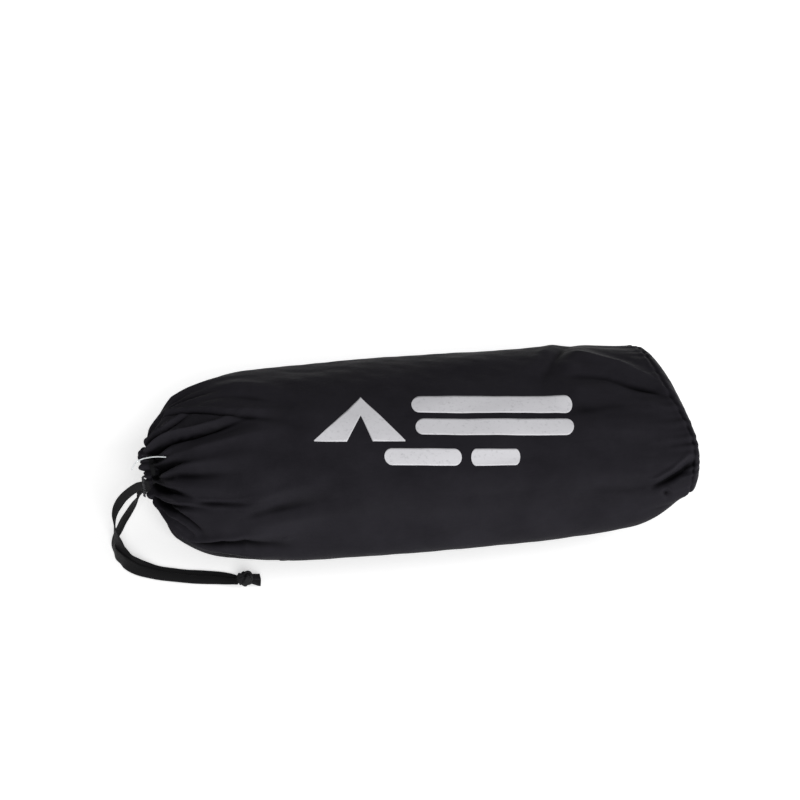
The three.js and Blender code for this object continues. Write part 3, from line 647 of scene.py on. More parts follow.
def fold_height(points, normals, folds):
    """How far the folds lift (above 0) or sink the cloth at each point, in millimetres."""
    shape = points.shape[:-1]
    points, normals = points.reshape(-1, 3), normals.reshape(-1, 3)
    height = np.zeros(len(points))
    for lean, course in folds:
        x, degrees, _, widths = np.transpose(course)
        line = even_point(x, np.radians(degrees))
        reach = 3.2 * widths.max() + 6  # past this a fold is too faint to see
        near = np.all((points > line.min(0) - reach) & (points < line.max(0) + reach), axis=-1)
        if not near.any():
            continue
        signed, depth, width = follow_course(points[near], normals[near], course)
        # a valley with a nearly sharp bottom, low shoulders beside it, and a step where it leans
        away = signed / width
        size = np.sqrt(away**2 + 0.012)
        valley = np.exp(-1.7 * size**1.35)
        shoulder = 0.22 * bell(size, 1.45, 0.55) * (1 + lean * np.sign(away))
        step = 0.4 * lean * np.tanh(away * 1.6) * bell(away, 0, 1.7)
        height[near] += depth * (-valley + shoulder + step)
    return height.reshape(shape)


def seam_height(points, angle):
    """The panel seam: a stitched groove, and puckers that die out to both sides of it."""
    reach = points[..., 0] - even_point(PANEL_X, angle)[..., 0]
    groove = -0.9 * bell(reach, 0, 0.9) + 0.35 * bell(reach, -2.2, 1.4)
    waves = np.sin(angle * 41 + 2.2 * np.sin(angle * 5)) + 0.6 * np.sin(angle * 67 + 1.0)
    strength = 0.42 * (1 + 0.6 * np.sin(angle * 3 + 1)) * (1 - 0.5 * bell(angle, 3.6, 0.9))
    die_out = np.where(reach < 0, 9.0, 4.0)
    return groove + strength * waves * np.exp(-np.abs(reach) / die_out)


def fine_pleats(points, angle):
    """Small pleats between the gathers, which fade within a few centimetres of the neck."""
    reach = np.maximum(points[..., 0] - GATHER_X, 0)
    waves = np.sin(angle * 37 + 3 * np.sin(angle * 4)) + 0.7 * np.sin(angle * 53 + 2 * np.sin(angle * 7))
    return 0.34 * waves * np.exp(-reach / 12) * smooth((reach + 3) / 6)


def cloth_point(x, angle, lift=0.0):
    """A point on the folded cloth, and its fold height. x and angle are arrays of one shape."""
    points = even_point(x, angle)
    step = 1e-3
    across = even_point(x, angle + step) - points
    back = even_point(np.minimum(x + 0.4, CROWN_X - 0.01), angle)
    ahead = even_point(np.maximum(x - 0.4, GATHER_X + 0.01), angle)
    normals = unit(np.cross(across, back - ahead))
    height = fold_height(points, normals, GATHER_FOLDS + BODY_FOLDS)
    height = height + seam_height(points, angle)
    # the neck is drawn in behind the hem, less so where a fold runs over it at the far top
    drawn_in = 2.9 - 2.1 * bell(np.degrees(angle) % 360, 50, 17)
    height = height - drawn_in * (1 - smooth((points[..., 0] - GATHER_X) / 13))
    height = height + fine_pleats(points, angle)
    calm = 1 - 0.75 * smooth((12 - points[..., 2]) / 12)  # flat where it rests on the floor
    height = height + 0.42 * calm * ripple(points, 3, 52, (0.6, 1, 1))
    height = height + 0.16 * calm * ripple(points, 8, 19, (0.8, 1, 1))
    # the sewn end is smooth towards its middle
    height = height * smooth((CROWN_X - points[..., 0]) / (0.55 * BULGE))
    moved = points + normals * (height + lift)[..., None]
    return moved, normals, height


# ---- The sack's cloth ---------------------------------------------------------------------------

COLUMNS = 480
SECTORS = 8  # the gathered cloth is made in this many pieces
DOME_ROWS, TUBE_ROWS, PANEL_ROWS = 112, 190, 40
ANGLES = np.arange(COLUMNS) / COLUMNS * 2 * math.pi


def tilt(points):
    """How far the mouth leans: its top edge stands further out than its bottom edge."""
    return -2.2 * np.clip((points[..., 2] - NECK_Z) / NECK_RADIUS, -1.2, 1.2)


def sack_grid():
    """The outer face of the whole sack, row by row from the neck to the middle of the end."""
    shares = np.linspace(0, 1, DOME_ROWS)
    tube = np.linspace(SHOULDER_X, PANEL_X, TUBE_ROWS)[1:]
    panel = PANEL_X + BULGE * np.sin(np.radians(np.linspace(0, 87, PANEL_ROWS)[1:]))
    x = np.concatenate([dome_x(shares), tube, panel])
    points, _, height = cloth_point(x[:, None], ANGLES[None, :])
    early = np.concatenate([1 - smooth(shares / 0.35), np.zeros(len(x) - DOME_ROWS)])
    points[..., 0] += early[:, None] * tilt(points)
    points[..., 2] = np.maximum(points[..., 2], CLOTH)
    return points, height


def grid_normals(points):
    """Outward normals of a grid of rings."""
    back = np.gradient(points, axis=0)
    across = np.roll(points, -1, 1) - np.roll(points, 1, 1)
    return unit(np.cross(across, back))


def shell(name, points, normals, uv, painted_light, material, around=True, thickness=CLOTH, cap=False):
    """A closed skin of cloth: the outer grid, an inner grid under it, and its rims."""
    rows, columns = points.shape[:2]
    inner = points - normals * thickness
    count = rows * columns
    faces = grid_faces(rows, columns, 0, around) + grid_faces(rows, columns, count, around, True)
    rim = range(columns if around else columns - 1)
    for j in rim:
        k = (j + 1) % columns
        faces.append([k, j, count + j, count + k])
        if not cap:
            last = (rows - 1) * columns
            faces.append([last + j, last + k, count + last + k, count + last + j])
    if not around:
        for i in range(rows - 1):
            a, b = i * columns, (i + 1) * columns
            faces.append([a, b, count + b, count + a])
            a, b = a + columns - 1, b + columns - 1
            faces.append([b, a, count + a, count + b])
    vertices = np.concatenate([points.reshape(-1, 3), inner.reshape(-1, 3)])
    directions = np.concatenate([normals.reshape(-1, 3), -normals.reshape(-1, 3)])
    if cap:
        last = (rows - 1) * columns
        for layer, turn in ((0, 1), (count, -1)):
            ring = list(range(layer + last, layer + last + columns))
            faces.append(ring[::turn])
    mesh = mesh_of(name, vertices, faces, np.tile(uv.reshape(-1, 2), (2, 1)), directions)
    # the painted shade and painted highlight that the cloth's material reads
    point_attribute(mesh, "painted_light", np.tile(painted_light.ravel(), 2))
    return new_object(name, mesh, material)


def painted_fold_light(height):
    """How much painted shade or painted highlight the cloth gets: 0 deep in a fold, 0.5 on flat cloth
    and 1 along a ridge.
    """
    above = np.clip((height - 0.1) / 1.6, 0, 1)
    below = smooth((-height - 0.5) / 2.6)
    return 0.5 + 0.5 * above - 0.5 * below


def make_sack():
    points, height = sack_grid()
    normals = grid_normals(points)
    # painted shade in the folds' valleys and a painted highlight on their ridges, from the fold height
    painted_light = painted_fold_light(height)
    along = np.concatenate([[0], np.cumsum(np.linalg.norm(np.diff(points, axis=0), axis=2).mean(1))])
    uv = together(along[:, None], ANGLES[None, :] * GIRTH_RADIUS)

    first, last = DOME_ROWS - 1, DOME_ROWS + TUBE_ROWS - 2
    tube = slice(first, last + 1)
    piece = shell("sack_body_cloth", points[tube], normals[tube], uv[tube], painted_light[tube], SACK_CLOTH)
    attach(piece, "sack", "sack_tube")

    end = slice(last, None)
    flat = points[end][..., 1:]
    piece = shell("sack_end_cloth", points[end], normals[end], flat, painted_light[end], SACK_CLOTH, cap=True)
    attach(piece, "sack", "sack_end_panel")

    dome = slice(0, DOME_ROWS)
    width = COLUMNS // SECTORS
    for k in range(SECTORS):
        columns = np.arange(k * width, (k + 1) * width + 1) - width // 2
        part = [a[dome][:, columns] for a in (points, normals, uv, painted_light)]
        piece = shell("mouth_gather_%d" % (k + 1), *part, SACK_CLOTH, around=False)
        attach(piece, "sack", "mouth_gather")
        open_outwards(piece)
    return points, normals


def open_outwards(piece):
    """Gives a piece of the gathered mouth its own copy of its mesh."""
    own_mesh(piece)


def wrinkle_at_neck(angle):
    """How far inside a gather's valley the cloth of the hem is, by its direction round the neck."""
    total = np.zeros_like(angle)
    for _, course in GATHER_FOLDS:
        _, degrees, depth, _ = course[0]
        gap = (np.degrees(angle) - degrees + 180) % 360 - 180
        total = total + depth / 6 * bell(gap, 0, 4.5)
    return total


BUTTONHOLE_LOW, BUTTONHOLE_HIGH = box_mm("buttonhole_stitching")
BUTTONHOLE = (BUTTONHOLE_LOW + BUTTONHOLE_HIGH) / 2


HEM_RADIUS, HEM_ROLL = 12.9, 3.2  # of the ring round the neck, and of its rolled section


def hem_grid():
    """The hem round the cord, rolled from outside the neck over its lip and back inside."""
    # the cloth curls over the lip, and then runs back inside the neck
    curl_rows, inner_rows, curl_end = 40, 7, 195.0
    curl = np.linspace(-40, curl_end, curl_rows)
    turn = np.radians(np.concatenate([curl, np.full(inner_rows, curl_end)]))
    deep = np.concatenate([np.zeros(curl_rows), np.linspace(2, 13, inner_rows)])
    angle = ANGLES[None, :]
    valley = wrinkle_at_neck(angle)
    lobe = 0.5 * np.sin(angle * 9 + 0.6) + 0.4 * np.sin(angle * 14 + 2.0)
    c, s = np.cos(turn)[:, None], np.sin(turn)[:, None]
    outer = np.clip(c, 0, 1)
    radius = HEM_RADIUS + HEM_ROLL * c - outer * 1.6 * valley + 0.3 * lobe * outer
    hidden = bell(np.degrees(angle), 52, 14)  # here the lip is drawn back behind a fold of the neck
    front = 4.2 + 0.55 * lobe - 2.4 * valley - 1.4 * hidden
    x = HEM_X - 0.4 - np.clip(s, -1, 1) * np.where(s > 0, front, 3.5) + deep[:, None]
    radius = radius + 0.25 * (deep[:, None] > 0) * lobe
    y = NECK_Y + radius * np.cos(angle)
    z = NECK_Z + radius * np.sin(angle)
    points = together(x, y, z)
    points[..., 0] += tilt(points) - 0.6
    # the buttonhole is a dent in the lip
    dy = (points[..., 1] - BUTTONHOLE[1]) / 2.4
    dz = (points[..., 2] - BUTTONHOLE[2]) / 6.2
    slot = np.exp(-(dy**4) - dz**4) * np.clip(s * 3, 0, 1)
    points[..., 0] += 4.0 * slot
    return points[::-1]


def make_hem():
    points = hem_grid()
    normals = grid_normals(points)
    rows = np.arange(points.shape[0])[:, None] * 0.5
    uv = together(rows, ANGLES[None, :] * 30.0)
    # painted shade: the hem is darker where a gather's valley meets it
    painted_light = 0.5 - 0.5 * np.clip(wrinkle_at_neck(ANGLES)[None, :] - 0.35 + 0 * rows, 0, 1)
    piece = shell("drawcord_hem", points, normals, uv, painted_light, SACK_CLOTH)
    attach(piece, "sack", "drawcord_channel")
    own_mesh(piece)


# ---- Flat tapes and threads ---------------------------------------------------------------------


def spline(rows, per_step):
    """Points on a smooth curve through the rows of a table, with the rows themselves among them."""
    rows = np.asarray(rows, float)
    slope = np.gradient(rows, axis=0)
    out = []
    for i in range(len(rows) - 1):
        for t in np.arange(per_step) / per_step:
            a, b = 2 * t**3 - 3 * t**2 + 1, t**3 - 2 * t**2 + t
            out.append(a * rows[i] + b * slope[i] + (1 - a) * rows[i + 1]
                       + (t**3 - t**2) * slope[i + 1])
    out.append(rows[-1])
    return np.array(out)


def tape_section(width, thickness, count=16):
    """A flat oval with full edges, as a woven tape has."""
    angle = (np.arange(count) + 0.5) / count * 2 * math.pi
    return np.stack([
        width / 2 * power(np.cos(angle), 0.5),
        thickness / 2 * power(np.sin(angle), 0.6),
    ], -1)


def sweep(name, path, across, section, material, closed=False, narrowing=1.0):
    """A tape of that section along a path.

    across says which way its width lies, all along or at each point, and narrowing scales the width.
    """
    tangent = np.gradient(path, axis=0)
    if closed:
        tangent = np.roll(path, -1, 0) - np.roll(path, 1, 0)
    tangent = unit(tangent)
    across = unit(across - tangent * (across * tangent).sum(-1, keepdims=True))
    up = np.cross(tangent, across)
    width = (across * np.reshape(narrowing, (-1, 1)))[:, None] * section[:, 0, None]
    points = path[:, None] + width + up[:, None] * section[:, 1, None]
    rows, columns = points.shape[:2]
    faces = grid_faces(rows, columns)
    if closed:
        last = (rows - 1) * columns
        for j in range(columns):
            k = (j + 1) % columns
            faces.append([last + j, last + k, k, j])
    else:
        faces.append(list(range(columns))[::-1])
        faces.append(list(range((rows - 1) * columns, rows * columns)))
    lengths = np.linalg.norm(np.diff(path, axis=0), axis=1)
    along = np.concatenate([[0], np.cumsum(lengths)])
    uv = together(along[:, None], section[None, :, 0]).reshape(-1, 2)
    mesh = mesh_of(name, points.reshape(-1, 3), faces, uv)
    return new_object(name, mesh, material)


TAPE_WIDTH, TAPE_THICKNESS = 6.2, 1.0
PER_ROW = 8  # points along a tail for each row of its route

# The tails' routes: x, y, z of the tape's middle, and its lean in degrees from lying flat
TAIL_A = [
    (-144, -16.4, 40, 90), (-155, -16.4, 40, 90), (-167.8, -16.4, 40, 90), (-171.6, -16.4, 38.9, 88),
    (-176, -16.3, 36, 86), (-180.2, -16.4, 31.9, 86), (-183.4, -17, 27.6, 88),
    (-185.4, -18.2, 23.3, 90), (-186.4, -20.2, 19.1, 90), (-186.6, -23, 15.1, 86),
    (-186, -27, 11.9, 74), (-184.9, -30.1, 8.8, 66), (-183.7, -32.8, 6, 62),
    (-181.9, -36, 4.4, 56), (-179.2, -39.5, 3.5, 62), (-175.4, -42.6, 2.8, 44), (-171, -45, 1.9, 26),
    (-166, -47.4, 1.2, 12), (-160, -49.8, 0.9, 5), (-153, -52.2, 0.8, 3), (-145.3, -54.4, 0.7, 2),
    (-136.6, -56.7, 0.7, 2), (-127.9, -58.9, 0.7, 2), (-121.6, -61.6, 0.9, 2),
    (-117.7, -64.8, 1.6, 4),
]
TAIL_B = [
    (-144, -14.1, 36.2, 90), (-155, -14.1, 36.2, 90), (-167.6, -14.1, 36.2, 88),
    (-169.8, -14.4, 32.8, 50), (-171.9, -14.9, 29, 22), (-174.6, -15.7, 25, 4),
    (-177.6, -16.7, 21.2, 0), (-180.6, -17.9, 17.1, 0), (-183.3, -19.3, 12.9, 4),
    (-185.8, -21, 9.2, 20), (-187.8, -23.9, 5.3, 52), (-187.8, -28.6, 3.8, 84),
    (-186.8, -33.4, 3.4, 82), (-184.3, -37.8, 3.4, 76), (-181.6, -42.4, 3.3, 60),
    (-177.6, -46.6, 2.8, 42), (-172.4, -50.2, 2.3, 28), (-165.4, -53.6, 1.9, 18),
    (-157.8, -56.7, 1.7, 12), (-148.6, -59.7, 1.6, 10), (-139.6, -62.2, 1.6, 10),
    (-130.4, -64.4, 1.6, 10), (-122.8, -67.2, 2.2, 12), (-117.9, -70, 3.3, 14),
]


def tape_across(rows):
    """Which way a tape's width lies at each row of its route."""
    rows = np.asarray(rows, float)
    path = rows[:, :3]
    tangent = unit(np.gradient(path, axis=0))
    level = unit(together(-tangent[:, 1], tangent[:, 0], 0))
    up = np.cross(tangent, level)
    lean = np.radians(rows[:, 3])[:, None]
    return level * np.cos(lean) + up * np.sin(lean)


def make_tail(name, node, rows):
    """One tail of the drawcord. Returns its piece, its path and its length in millimetres."""
    path = spline([row[:3] for row in rows], PER_ROW)
    across = spline(tape_across(rows), PER_ROW)
    step = np.arange(len(path))
    face = np.cross(unit(np.gradient(path, axis=0)), across)
    path = path + 0.10 * np.sin(step * 0.35)[:, None] * face  # the tape is never quite flat
    section = tape_section(TAPE_WIDTH, TAPE_THICKNESS)
    # the tapes are pressed a little wider where they cross, and drawn narrow at the knot
    widening = 0.16 * bell(step / PER_ROW, 12, 2.2)
    to_knot = smooth((step - len(path) + 22) / 20)
    piece = sweep(name, path, across, section, CORD_TAPE, narrowing=1 + widening - 0.36 * to_knot)
    attach(piece, "drawcord", node)
    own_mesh(piece)
    length = np.linalg.norm(np.diff(path, axis=0), axis=1).sum()
    return piece, path, length


KNOT_LOOPS = [(3.3, 0.0, 0.3), (3.0, 1.1, -0.3)]  # size, turn and lift of each tape's loop
CUT_ENDS = [(0.6, -0.4, 0.06), (-1.3, -2.6, -0.14)]  # sideways and upward shift, and turn, of each
CUT_LENGTH = 7.6


def make_knot():
    """An overhand knot in both tapes at once, drawn tight, with their cut ends beyond it."""
    low, high = box_mm("drawcord_knot")
    middle = np.array([low[0] + 2.9, (low[1] + high[1]) / 2 + 1.2, (low[2] + high[2]) / 2 - 0.4])
    pieces = []
    section = tape_section(3.6, 1.5)
    t = np.linspace(0, 2 * math.pi, 97)[:-1]
    for k, (size, turn, lift) in enumerate(KNOT_LOOPS):
        # a trefoil pressed into a lump
        x = size * (np.sin(t) + 2 * np.sin(2 * t)) * 0.42
        y = size * (np.cos(t) - 2 * np.cos(2 * t)) * 0.44
        z = -size * np.sin(3 * t) * 0.62
        path = together(x * math.cos(turn) - y * math.sin(turn),
                        x * math.sin(turn) + y * math.cos(turn), z + lift)
        outward = unit(path + 0.01)
        tangent = unit(np.roll(path, -1, 0) - np.roll(path, 1, 0))
        across = np.cross(tangent, outward)
        pieces.append(sweep("knot_%d" % k, path + middle, across, section, CORD_TAPE, closed=True))
    section = tape_section(4.8, 1.7)
    t = np.linspace(0, 1, 14)[:, None]
    for k, (dy, dz, turn) in enumerate(CUT_ENDS):
        heading = np.array([math.cos(turn), math.sin(turn), 0.0])
        start = middle + np.array([1.4, dy * 0.6, dz * 0.4])
        sag = np.array([0, 0, 1.0]) * (dz * 0.6 * smooth(t) + 0.3 * np.sin(t * 5))
        path = start + heading * t * CUT_LENGTH + sag
        across = np.array([-math.sin(turn), math.cos(turn), 0.12])
        pieces.append(sweep("end_%d" % k, path, across, section, CORD_TAPE))
    knot = join(pieces, "cord_knot")
    attach(knot, "drawcord", "drawcord_knot")
    return knot


def make_cord():
    knot = make_knot()
    for name, node, rows in (("cord_tail_a", "drawcord_tail_a", TAIL_A),
                             ("cord_tail_b", "drawcord_tail_b", TAIL_B)):
        piece, path, length = make_tail(name, node, rows)


def make_cord_in_hem():
    """The stretch of the cord that runs round inside the hem, from buttonhole to buttonhole."""
    low, high = box_mm("drawcord_loop")
    middle = (low + high) / 2
    radius = (high[2] - low[2]) / 2 - TAPE_THICKNESS / 2
    centre_y = high[1] - TAPE_THICKNESS / 2 - radius
    gap = math.asin((BUTTONHOLE_HIGH[2] - BUTTONHOLE_LOW[2]) / 2 / radius)
    angle = np.linspace(math.pi + gap, 3 * math.pi - gap, 90)
    path = together(middle[0], centre_y + radius * np.cos(angle), middle[2] + radius * np.sin(angle))
    loop = sweep("cord_in_hem", path, np.array([1.0, 0, 0]), tape_section(5.8, 0.9), CORD_TAPE)
    attach(loop, "sack", "drawcord_loop")
    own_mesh(loop)


def make_buttonhole():
    """Bars of thread laid side by side round the slot."""
    width, height = 3.4, 10.2
    front = BUTTONHOLE_LOW[0] - 0.6
    section = tape_section(0.62, 0.5, 8)
    count = 30
    pieces = []
    for k in range(count):
        t = (k + 0.5) / count * 2 * math.pi
        c, s = math.cos(t), math.sin(t)
        y = BUTTONHOLE[1] + width / 2 * power(c, 0.55)
        z = BUTTONHOLE[2] + height / 2 * power(s, 0.75)
        out = unit(np.array([0.0, c * 0.8, s * 0.5 if abs(c) < 0.6 else 0.1 * s]))
        dx = 0.35 * math.sin(k * 2.1)
        start = np.array([front + 1.6, y, z]) - out * 0.3
        mid = np.array([front - 0.2 + dx * 0.3, y, z]) + out * 0.8
        end = np.array([front + 0.9, y, z]) + out * 2.0
        path = spline([start, mid, end], 4)
        across = np.cross(out, [1.0, 0, 0])
        pieces.append(sweep("stitch_%d" % k, path, across, section, HOLE_THREAD))
    stitches = join(pieces, "buttonhole_thread")
    attach(stitches, "sack", "buttonhole_stitching")
    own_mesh(stitches)


def make_filament():
    """A stub of clear nylon filament, left from a shop tag, over the top lip of the mouth."""
    root, _, _ = cloth_point(np.array([-153.4]), np.radians([115.0]), 0.2)
    lip = np.array([-166.4, -13.8, 57.6])
    t = np.linspace(0, 1, 6)[:, None]
    arch = np.array([0, -0.2, 1.0]) * np.sin(t * math.pi)
    free_end = [(-169.4, -12.4, 55.2), (-171.8, -11.4, 52.0), (-173.2, -10.8, 48.4)]
    path = spline(list(mix(root, lip, t) + arch) + free_end, 6)
    across = np.array([0, 1.0, 0.3])
    piece = sweep("tag_stub", path, across, tape_section(0.7, 0.6, 10), FILAMENT)
    attach(piece, "sack", "tag_filament")
    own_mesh(piece)


# ---- Print --------------------------------------------------------------------------------------

# Each area's four corners as (x, degrees round the sack): top left, top right, then the lower two
EMBLEM_AREA = [(-64.5, 88), (-4.4, 91), (-12, 118), (-69.5, 115)]
BAR_AREA = [(-5.7, 90), (94.4, 96), (87, 122), (-13, 115)]
SMALL_BAR_AREA = [(-27, 118), (54, 123), (50.6, 139), (-29, 134)]
INK_LIFT = 0.13


def in_area(area, across, down):
    """The place of shares across and down an area, as (x, degrees round the sack)."""
    corners = np.array(area, float)
    top = mix(corners[0], corners[1], across[..., None])
    bottom = mix(corners[3], corners[2], across[..., None])
    return mix(top, bottom, down[..., None])


def printed_strip(name, area, columns, upper, lower, rows=12):
    """A printed shape between an upper and a lower edge, lying on the cloth."""
    across = columns[None, :]
    down = np.linspace(0, 1, rows)[:, None]
    place = in_area(area, across + 0 * down, mix(upper[None, :], lower[None, :], down))
    x, angle = place[..., 0], np.radians(place[..., 1])
    points, normals, _ = cloth_point(x, angle, INK_LIFT)
    below = points - normals * (INK_LIFT + 0.05)
    count = points.shape[0] * points.shape[1]
    width = points.shape[1]
    faces = grid_faces(rows, width, 0, False, True) + grid_faces(rows, width, count, False)
    border = list(range(width)) + [i * width + width - 1 for i in range(1, rows)]
    border += [(rows - 1) * width + j for j in range(width - 2, -1, -1)]
    border += [i * width for i in range(rows - 2, 0, -1)]
    for a, b in zip(border, border[1:] + border[:1]):
        faces.append([a, b, count + b, count + a])
    uv = np.tile(together(x, angle * GIRTH_RADIUS).reshape(-1, 2), (2, 1))
    mesh = mesh_of(name, np.concatenate([points.reshape(-1, 3), below.reshape(-1, 3)]), faces, uv)
    return new_object(name, mesh, PRINT)


def rounded_bar(name, area, left, right, top, bottom, round_share):
    """A bar with round ends. round_share is how much of its width one round end takes."""
    t = np.linspace(0, 1, 70)
    columns = left + (right - left) * (0.5 - 0.5 * np.cos(t * math.pi))
    reach = np.minimum(columns - left, right - columns) / ((right - left) * round_share)
    rise = np.sqrt(1 - (1 - np.clip(reach, 0.004, 1)) ** 2)
    middle, half = (top + bottom) / 2, (bottom - top) / 2
    return printed_strip(name, area, columns, middle - half * rise, middle + half * rise)


TENT_HALF, DOOR_HALF, DOOR_TOP = 0.46, 0.13, 0.42  # shares of the emblem's area
LONG_BARS = [(0.02, 0.985, 0.03, 0.42), (0.05, 0.99, 0.56, 0.95)]  # left, right, top and bottom
SMALL_BARS = [(0.0, 0.56, 0.2, 0.82), (0.63, 0.99, 0.2, 0.82)]


def make_tent():
    """A wide triangle with its door left open."""
    across = np.linspace(0.5 - TENT_HALF, 0.5 + TENT_HALF, 121)
    off = np.abs(across - 0.5)
    upper = np.clip(0.02 + off / TENT_HALF * 0.96, 0, 0.98)
    lower = np.where(off < DOOR_HALF, DOOR_TOP + off / DOOR_HALF * (1 - DOOR_TOP), 1.0)
    return printed_strip("tent", EMBLEM_AREA, across, upper, np.maximum(lower, upper + 0.01), 14)


def make_print():
    pieces = [make_tent()]
    for k, edges in enumerate(LONG_BARS):
        pieces.append(rounded_bar("bar_%d" % k, BAR_AREA, *edges, 0.05))
    for k, edges in enumerate(SMALL_BARS):
        pieces.append(rounded_bar("small_%d" % k, SMALL_BAR_AREA, *edges, 0.1))
    mark = join(pieces, "printed_mark")
    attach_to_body(mark, "sack")


# ---- The opened mouth ---------------------------------------------------------------------------

CUFF_LENGTH = 75.0
CUFF_FRONT = SHOULDER_X + 5
CUFF_TRAVEL = 78.0  # how far behind the shoulder lies the wall whose shape the cuff takes
CUFF_MIDDLE = np.array([0, 0, 33.0])


def make_cuff():
    """The mouth of the sack as it is when opened, made inside the sack."""
    rows, columns = 46, 200
    angle = np.arange(columns)[None, :] / columns * 2 * math.pi
    t = np.linspace(0, 1, rows)[:, None]
    x = CUFF_FRONT + CUFF_LENGTH * t
    # the cuff has the shape of the wall that it lies inside at rest, drawn in to clear it
    spread = even_point(np.full((1, columns), SHOULDER_X + CUFF_TRAVEL), angle) - CUFF_MIDDLE
    spread[..., 2] *= np.where(spread[..., 2] > 0, 0.93, 0.94)
    spread[..., 1] *= 0.93
    wrinkle = 1.1 * np.sin(angle * 13 + 1.5 * np.sin(angle * 3)) + 0.6 * np.sin(angle * 29 + 1)
    hem = 0.8 * np.exp(-(((t * CUFF_LENGTH - 5) / 5) ** 4))
    stitched = -0.5 * bell(t * CUFF_LENGTH, 10.5, 0.8)
    reach = np.linalg.norm(spread, axis=-1)
    out = wrinkle * (1 - 0.75 * t) + hem + stitched - 1.0
    points = CUFF_MIDDLE + spread * (1 + out / reach)[..., None]
    points[..., 0] = x + 1.2 * np.sin(angle * 5) * (1 - t) + 0.5 * np.sin(angle * 17) * (1 - t)
    points[..., 2] = np.maximum(points[..., 2], 1.9)
    normals = grid_normals(points)
    uv = together(t * CUFF_LENGTH, angle * GIRTH_RADIUS)
    piece = shell("mouth_cuff_open", points, normals, uv, np.full((rows, columns), 0.5), SACK_CLOTH)
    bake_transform(piece)
    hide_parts("mouth_gather")


# ---- The rolled bivy ----------------------------------------------------------------------------

ROLL_MIDDLE = (ROLL_LOW + ROLL_HIGH) / 2
ROLL_TURNS = 9.5
CORE_RADIUS = 9.2
CORE_MIDDLE = (-2.6, 36.2)
END_PAST_TOP = 0.9  # radians past the top at which the cloth ends, beyond the door
PRESS_X, PRESS_REACH, PRESS = 104.0, 44.0, 0.17  # the far end is pressed in by the sack's end


def press_end(points, share=1.0):
    """Draws the far end of the roll, and what lies on it, in towards the core."""
    press = 1 - PRESS * share * smooth((points[..., 0] - PRESS_X) / PRESS_REACH)
    points[..., 1] *= press
    points[..., 2] = CORE_MIDDLE[1] + (points[..., 2] - CORE_MIDDLE[1]) * press


def wound_sheet(name, node, lift, thickness, material, seed):
    """One of the two cloths of the roll, wound from the core to its free end on the top."""
    low, high = box_mm(node)
    per_turn, rows = 64, 22
    count = int(ROLL_TURNS * per_turn) + 1
    turns = np.arange(count) / per_turn
    t = turns / ROLL_TURNS
    angle = math.pi / 2 + END_PAST_TOP + (turns - ROLL_TURNS) * 2 * math.pi
    outer_y, outer_z = (high[1] - low[1]) / 2 - lift, (high[2] - low[2]) / 2 - lift
    across = mix(CORE_RADIUS, outer_y - 3.2, t) + lift
    upright = mix(CORE_RADIUS, outer_z + 0.2, t) + lift
    y = mix(CORE_MIDDLE[0], 0.0, t) + across * np.cos(angle)
    z = mix(CORE_MIDDLE[1], (low[2] + high[2]) / 2, t) + upright * np.sin(angle)
    x = np.linspace(low[0], high[0], rows)
    grid = together(x[:, None], y[None, :], z[None, :])
    # the turns are a little uneven at both ends
    edge = 1.6 * np.sin(turns * 5.3 + seed) + 1.1 * np.sin(turns * 13.1 + 2 * seed)
    reach = np.abs(np.linspace(-1, 1, rows))[:, None] ** 6
    grid[..., 0] -= np.sign(grid[..., 0] - x.mean()) * reach * (1.6 + 0.6 * edge)[None, :]
    # the outer turn stands up under the zip
    under_zip = np.exp(-(((grid[..., 1] - 20) / 12) ** 4)) * smooth((t[None, :] - 0.93) / 0.03)
    grid[..., 2] += 1.3 * under_zip * (grid[..., 2] > ROLL_MIDDLE[2])
    press_end(grid, t[None, :])
    out = together(0, np.cos(angle), np.sin(angle))
    soft = 0.22 * ripple(grid, seed, 34, (1, 0.7, 0.7)) * t[None, :]
    grid = grid + out[None] * (soft - 0.2)[..., None]
    normals = unit(np.cross(np.gradient(grid, axis=1), np.gradient(grid, axis=0)))
    lengths = np.concatenate([[0], np.cumsum(np.hypot(np.diff(y), np.diff(z)))])
    uv = together(x[:, None], lengths[None, :])
    # painted highlight: the roll's cloth is paler where its soft ripple stands out
    painted_light = 0.5 + 0.5 * np.clip(soft, 0, 1)
    piece = shell(name, grid, normals, uv, painted_light, material, around=False, thickness=thickness)
    attach(piece, "bivy_roll", node)


def top_of_roll(y):
    """Height of the rolled cloth at a distance from its middle."""
    half_width, half_height = ROLL_HIGH[1] - 3.0, (ROLL_HIGH[2] - ROLL_LOW[2]) / 2
    return ROLL_MIDDLE[2] + half_height * np.sqrt(1 - (y / half_width) ** 2)


def laid_strip(name, node, material, thickness, wave):
    """A strip along the top of the roll."""
    low, high = box_mm(node)
    rows, columns = 60, 40
    y = np.linspace(low[1], high[1], columns)
    x = np.linspace(low[0], high[0], rows)
    top = top_of_roll(y)
    top = top + high[2] - top.max()
    points = together(x[:, None], y[None, :], top[None, :])
    points[..., 2] -= wave * (0.5 + 0.5 * ripple(points, 5, 30))
    press_end(points)
    normals = unit(np.cross(np.gradient(points, axis=0), np.gradient(points, axis=1)))
    middle = (low[1] + high[1]) / 2
    uv = together(x[:, None], (y - middle)[None, :])
    # the rows run along X and the columns along Y, so the columns are turned round to face up
    turned = [a[:, ::-1] for a in (points, normals, uv, np.full((rows, columns), 0.5))]
    piece = shell(name, *turned, material, around=False, thickness=thickness)
    attach(piece, "bivy_roll", node)


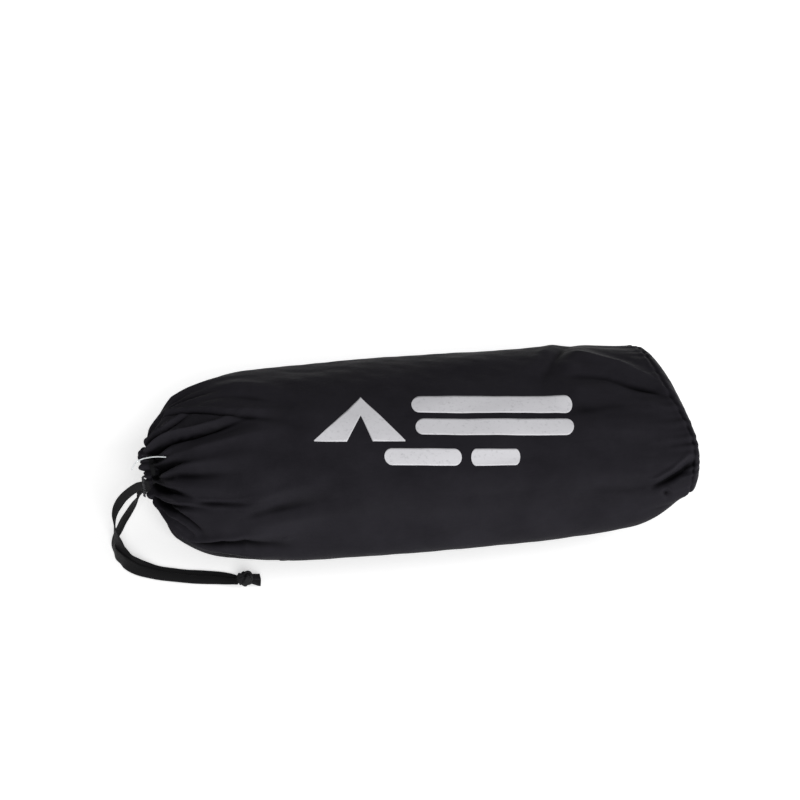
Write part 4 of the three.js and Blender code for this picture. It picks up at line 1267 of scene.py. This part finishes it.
def make_coil():
    """The zip's two rows of coil teeth, one leaning over the other."""
    low, high = box_mm("zipper_coil")
    pitch, sides = 1.5, 6
    middle_y, foot = (low[1] + high[1]) / 2, low[2]
    rise = high[2] - low[2]
    vertices, faces = [], []
    section = np.arange(sides) / sides * 2 * math.pi
    for k in range(int((high[0] - low[0]) / pitch)):
        for side in (-1, 1):
            x = low[0] + (k + 0.5 + 0.25 * side) * pitch
            way = np.array([
                [x, middle_y + side * 2.1, foot + 0.25], [x, middle_y + side * 1.5, foot + rise - 0.3],
                [x, middle_y, foot + rise - 0.18], [x, middle_y - side * 0.7, foot + rise * 0.55],
            ])
            for point in way:
                for a in section:
                    vertices.append(point + [0.3 * math.cos(a), 0.12 * math.cos(a), 0.3 * math.sin(a)])
            first = len(vertices) - sides * len(way)
            faces += grid_faces(len(way), sides, first)
            faces.append([first + i for i in range(sides)][::-1])
            faces.append([first + sides * (len(way) - 1) + i for i in range(sides)])
    vertices = np.array(vertices)
    press_end(vertices)
    mesh = mesh_of("zip_teeth", vertices, faces)
    piece = new_object("zip_teeth", mesh, ZIP_COIL)
    attach(piece, "bivy_roll", "zipper_coil")


def make_webbing_loop(name, node):
    """A stake loop: webbing folded round and sewn flat to the cloth."""
    low, high = box_mm(node)
    heading = -1 if low[0] < 0 else 1
    root = high[0] if heading < 0 else low[0]
    length = (high[0] - low[0]) - 0.6
    middle_y, middle_z = (low[1] + high[1]) / 2, (low[2] + high[2]) / 2
    half = (high[1] - low[1]) / 2 - 0.6
    t = np.linspace(0, 1, 15)
    turn = np.linspace(-math.pi / 2, math.pi / 2, 15)
    rows = [(a * (length - half), -mix(1.6, half, smooth(a))) for a in t[:-1]]
    rows += [(length - half + half * math.cos(a), half * math.sin(a)) for a in turn]
    rows += [(a * (length - half), mix(1.6, half, smooth(a))) for a in t[::-1][1:]]
    path = np.array([[root + heading * (x + 0.5), middle_y + y, middle_z] for x, y in rows])
    section = tape_section(high[2] - low[2] - 0.4, 1.0)
    piece = sweep(name, path, np.array([0, 0, 1.0]), section, WEBBING)
    attach(piece, "bivy_roll", node)


def make_roll():
    wound_sheet("bivy_floor_cloth", "bivy_floor", 0.0, 0.45, FLOOR_CLOTH, 2)
    wound_sheet("bivy_upper_cloth", "bivy_upper", 0.85, 0.45, UPPER_CLOTH, 4)
    laid_strip("door_mesh", "bug_mesh_door", MESH_CLOTH, 0.25, 0.25)
    laid_strip("zip_tape", "door_zipper_tape", ZIP_TAPE, 0.4, 0.05)
    make_coil()
    for end in ("head", "foot"):
        for side in ("left", "right"):
            make_webbing_loop("webbing_%s_%s" % (end, side), "stake_loop_%s_%s" % (end, side))


def dress_cad_nodes():
    """Gives the hard pieces, whose shape is right, their detailed materials."""
    looks = {"zipper_slider": ZIP_METAL, "zipper_pull": ZIP_METAL, "shock_cord": ELASTIC,
             "pole_tip_front": ALUMINIUM, "pole_tip_rear": ALUMINIUM}
    looks.update({"pole_section_%d" % k: POLE_PLASTIC for k in (1, 2, 3, 4)})
    looks.update({"pole_spigot_%d" % k: ALUMINIUM for k in (1, 2, 3)})
    for node, material in looks.items():
        piece = bpy.data.objects[node]
        for slot in piece.material_slots:
            slot.material = material


make_camera()
make_cord()
make_cord_in_hem()
make_studio()
make_sack()
make_hem()
make_buttonhole()
make_filament()
make_print()
make_cuff()
make_roll()
dress_cad_nodes()
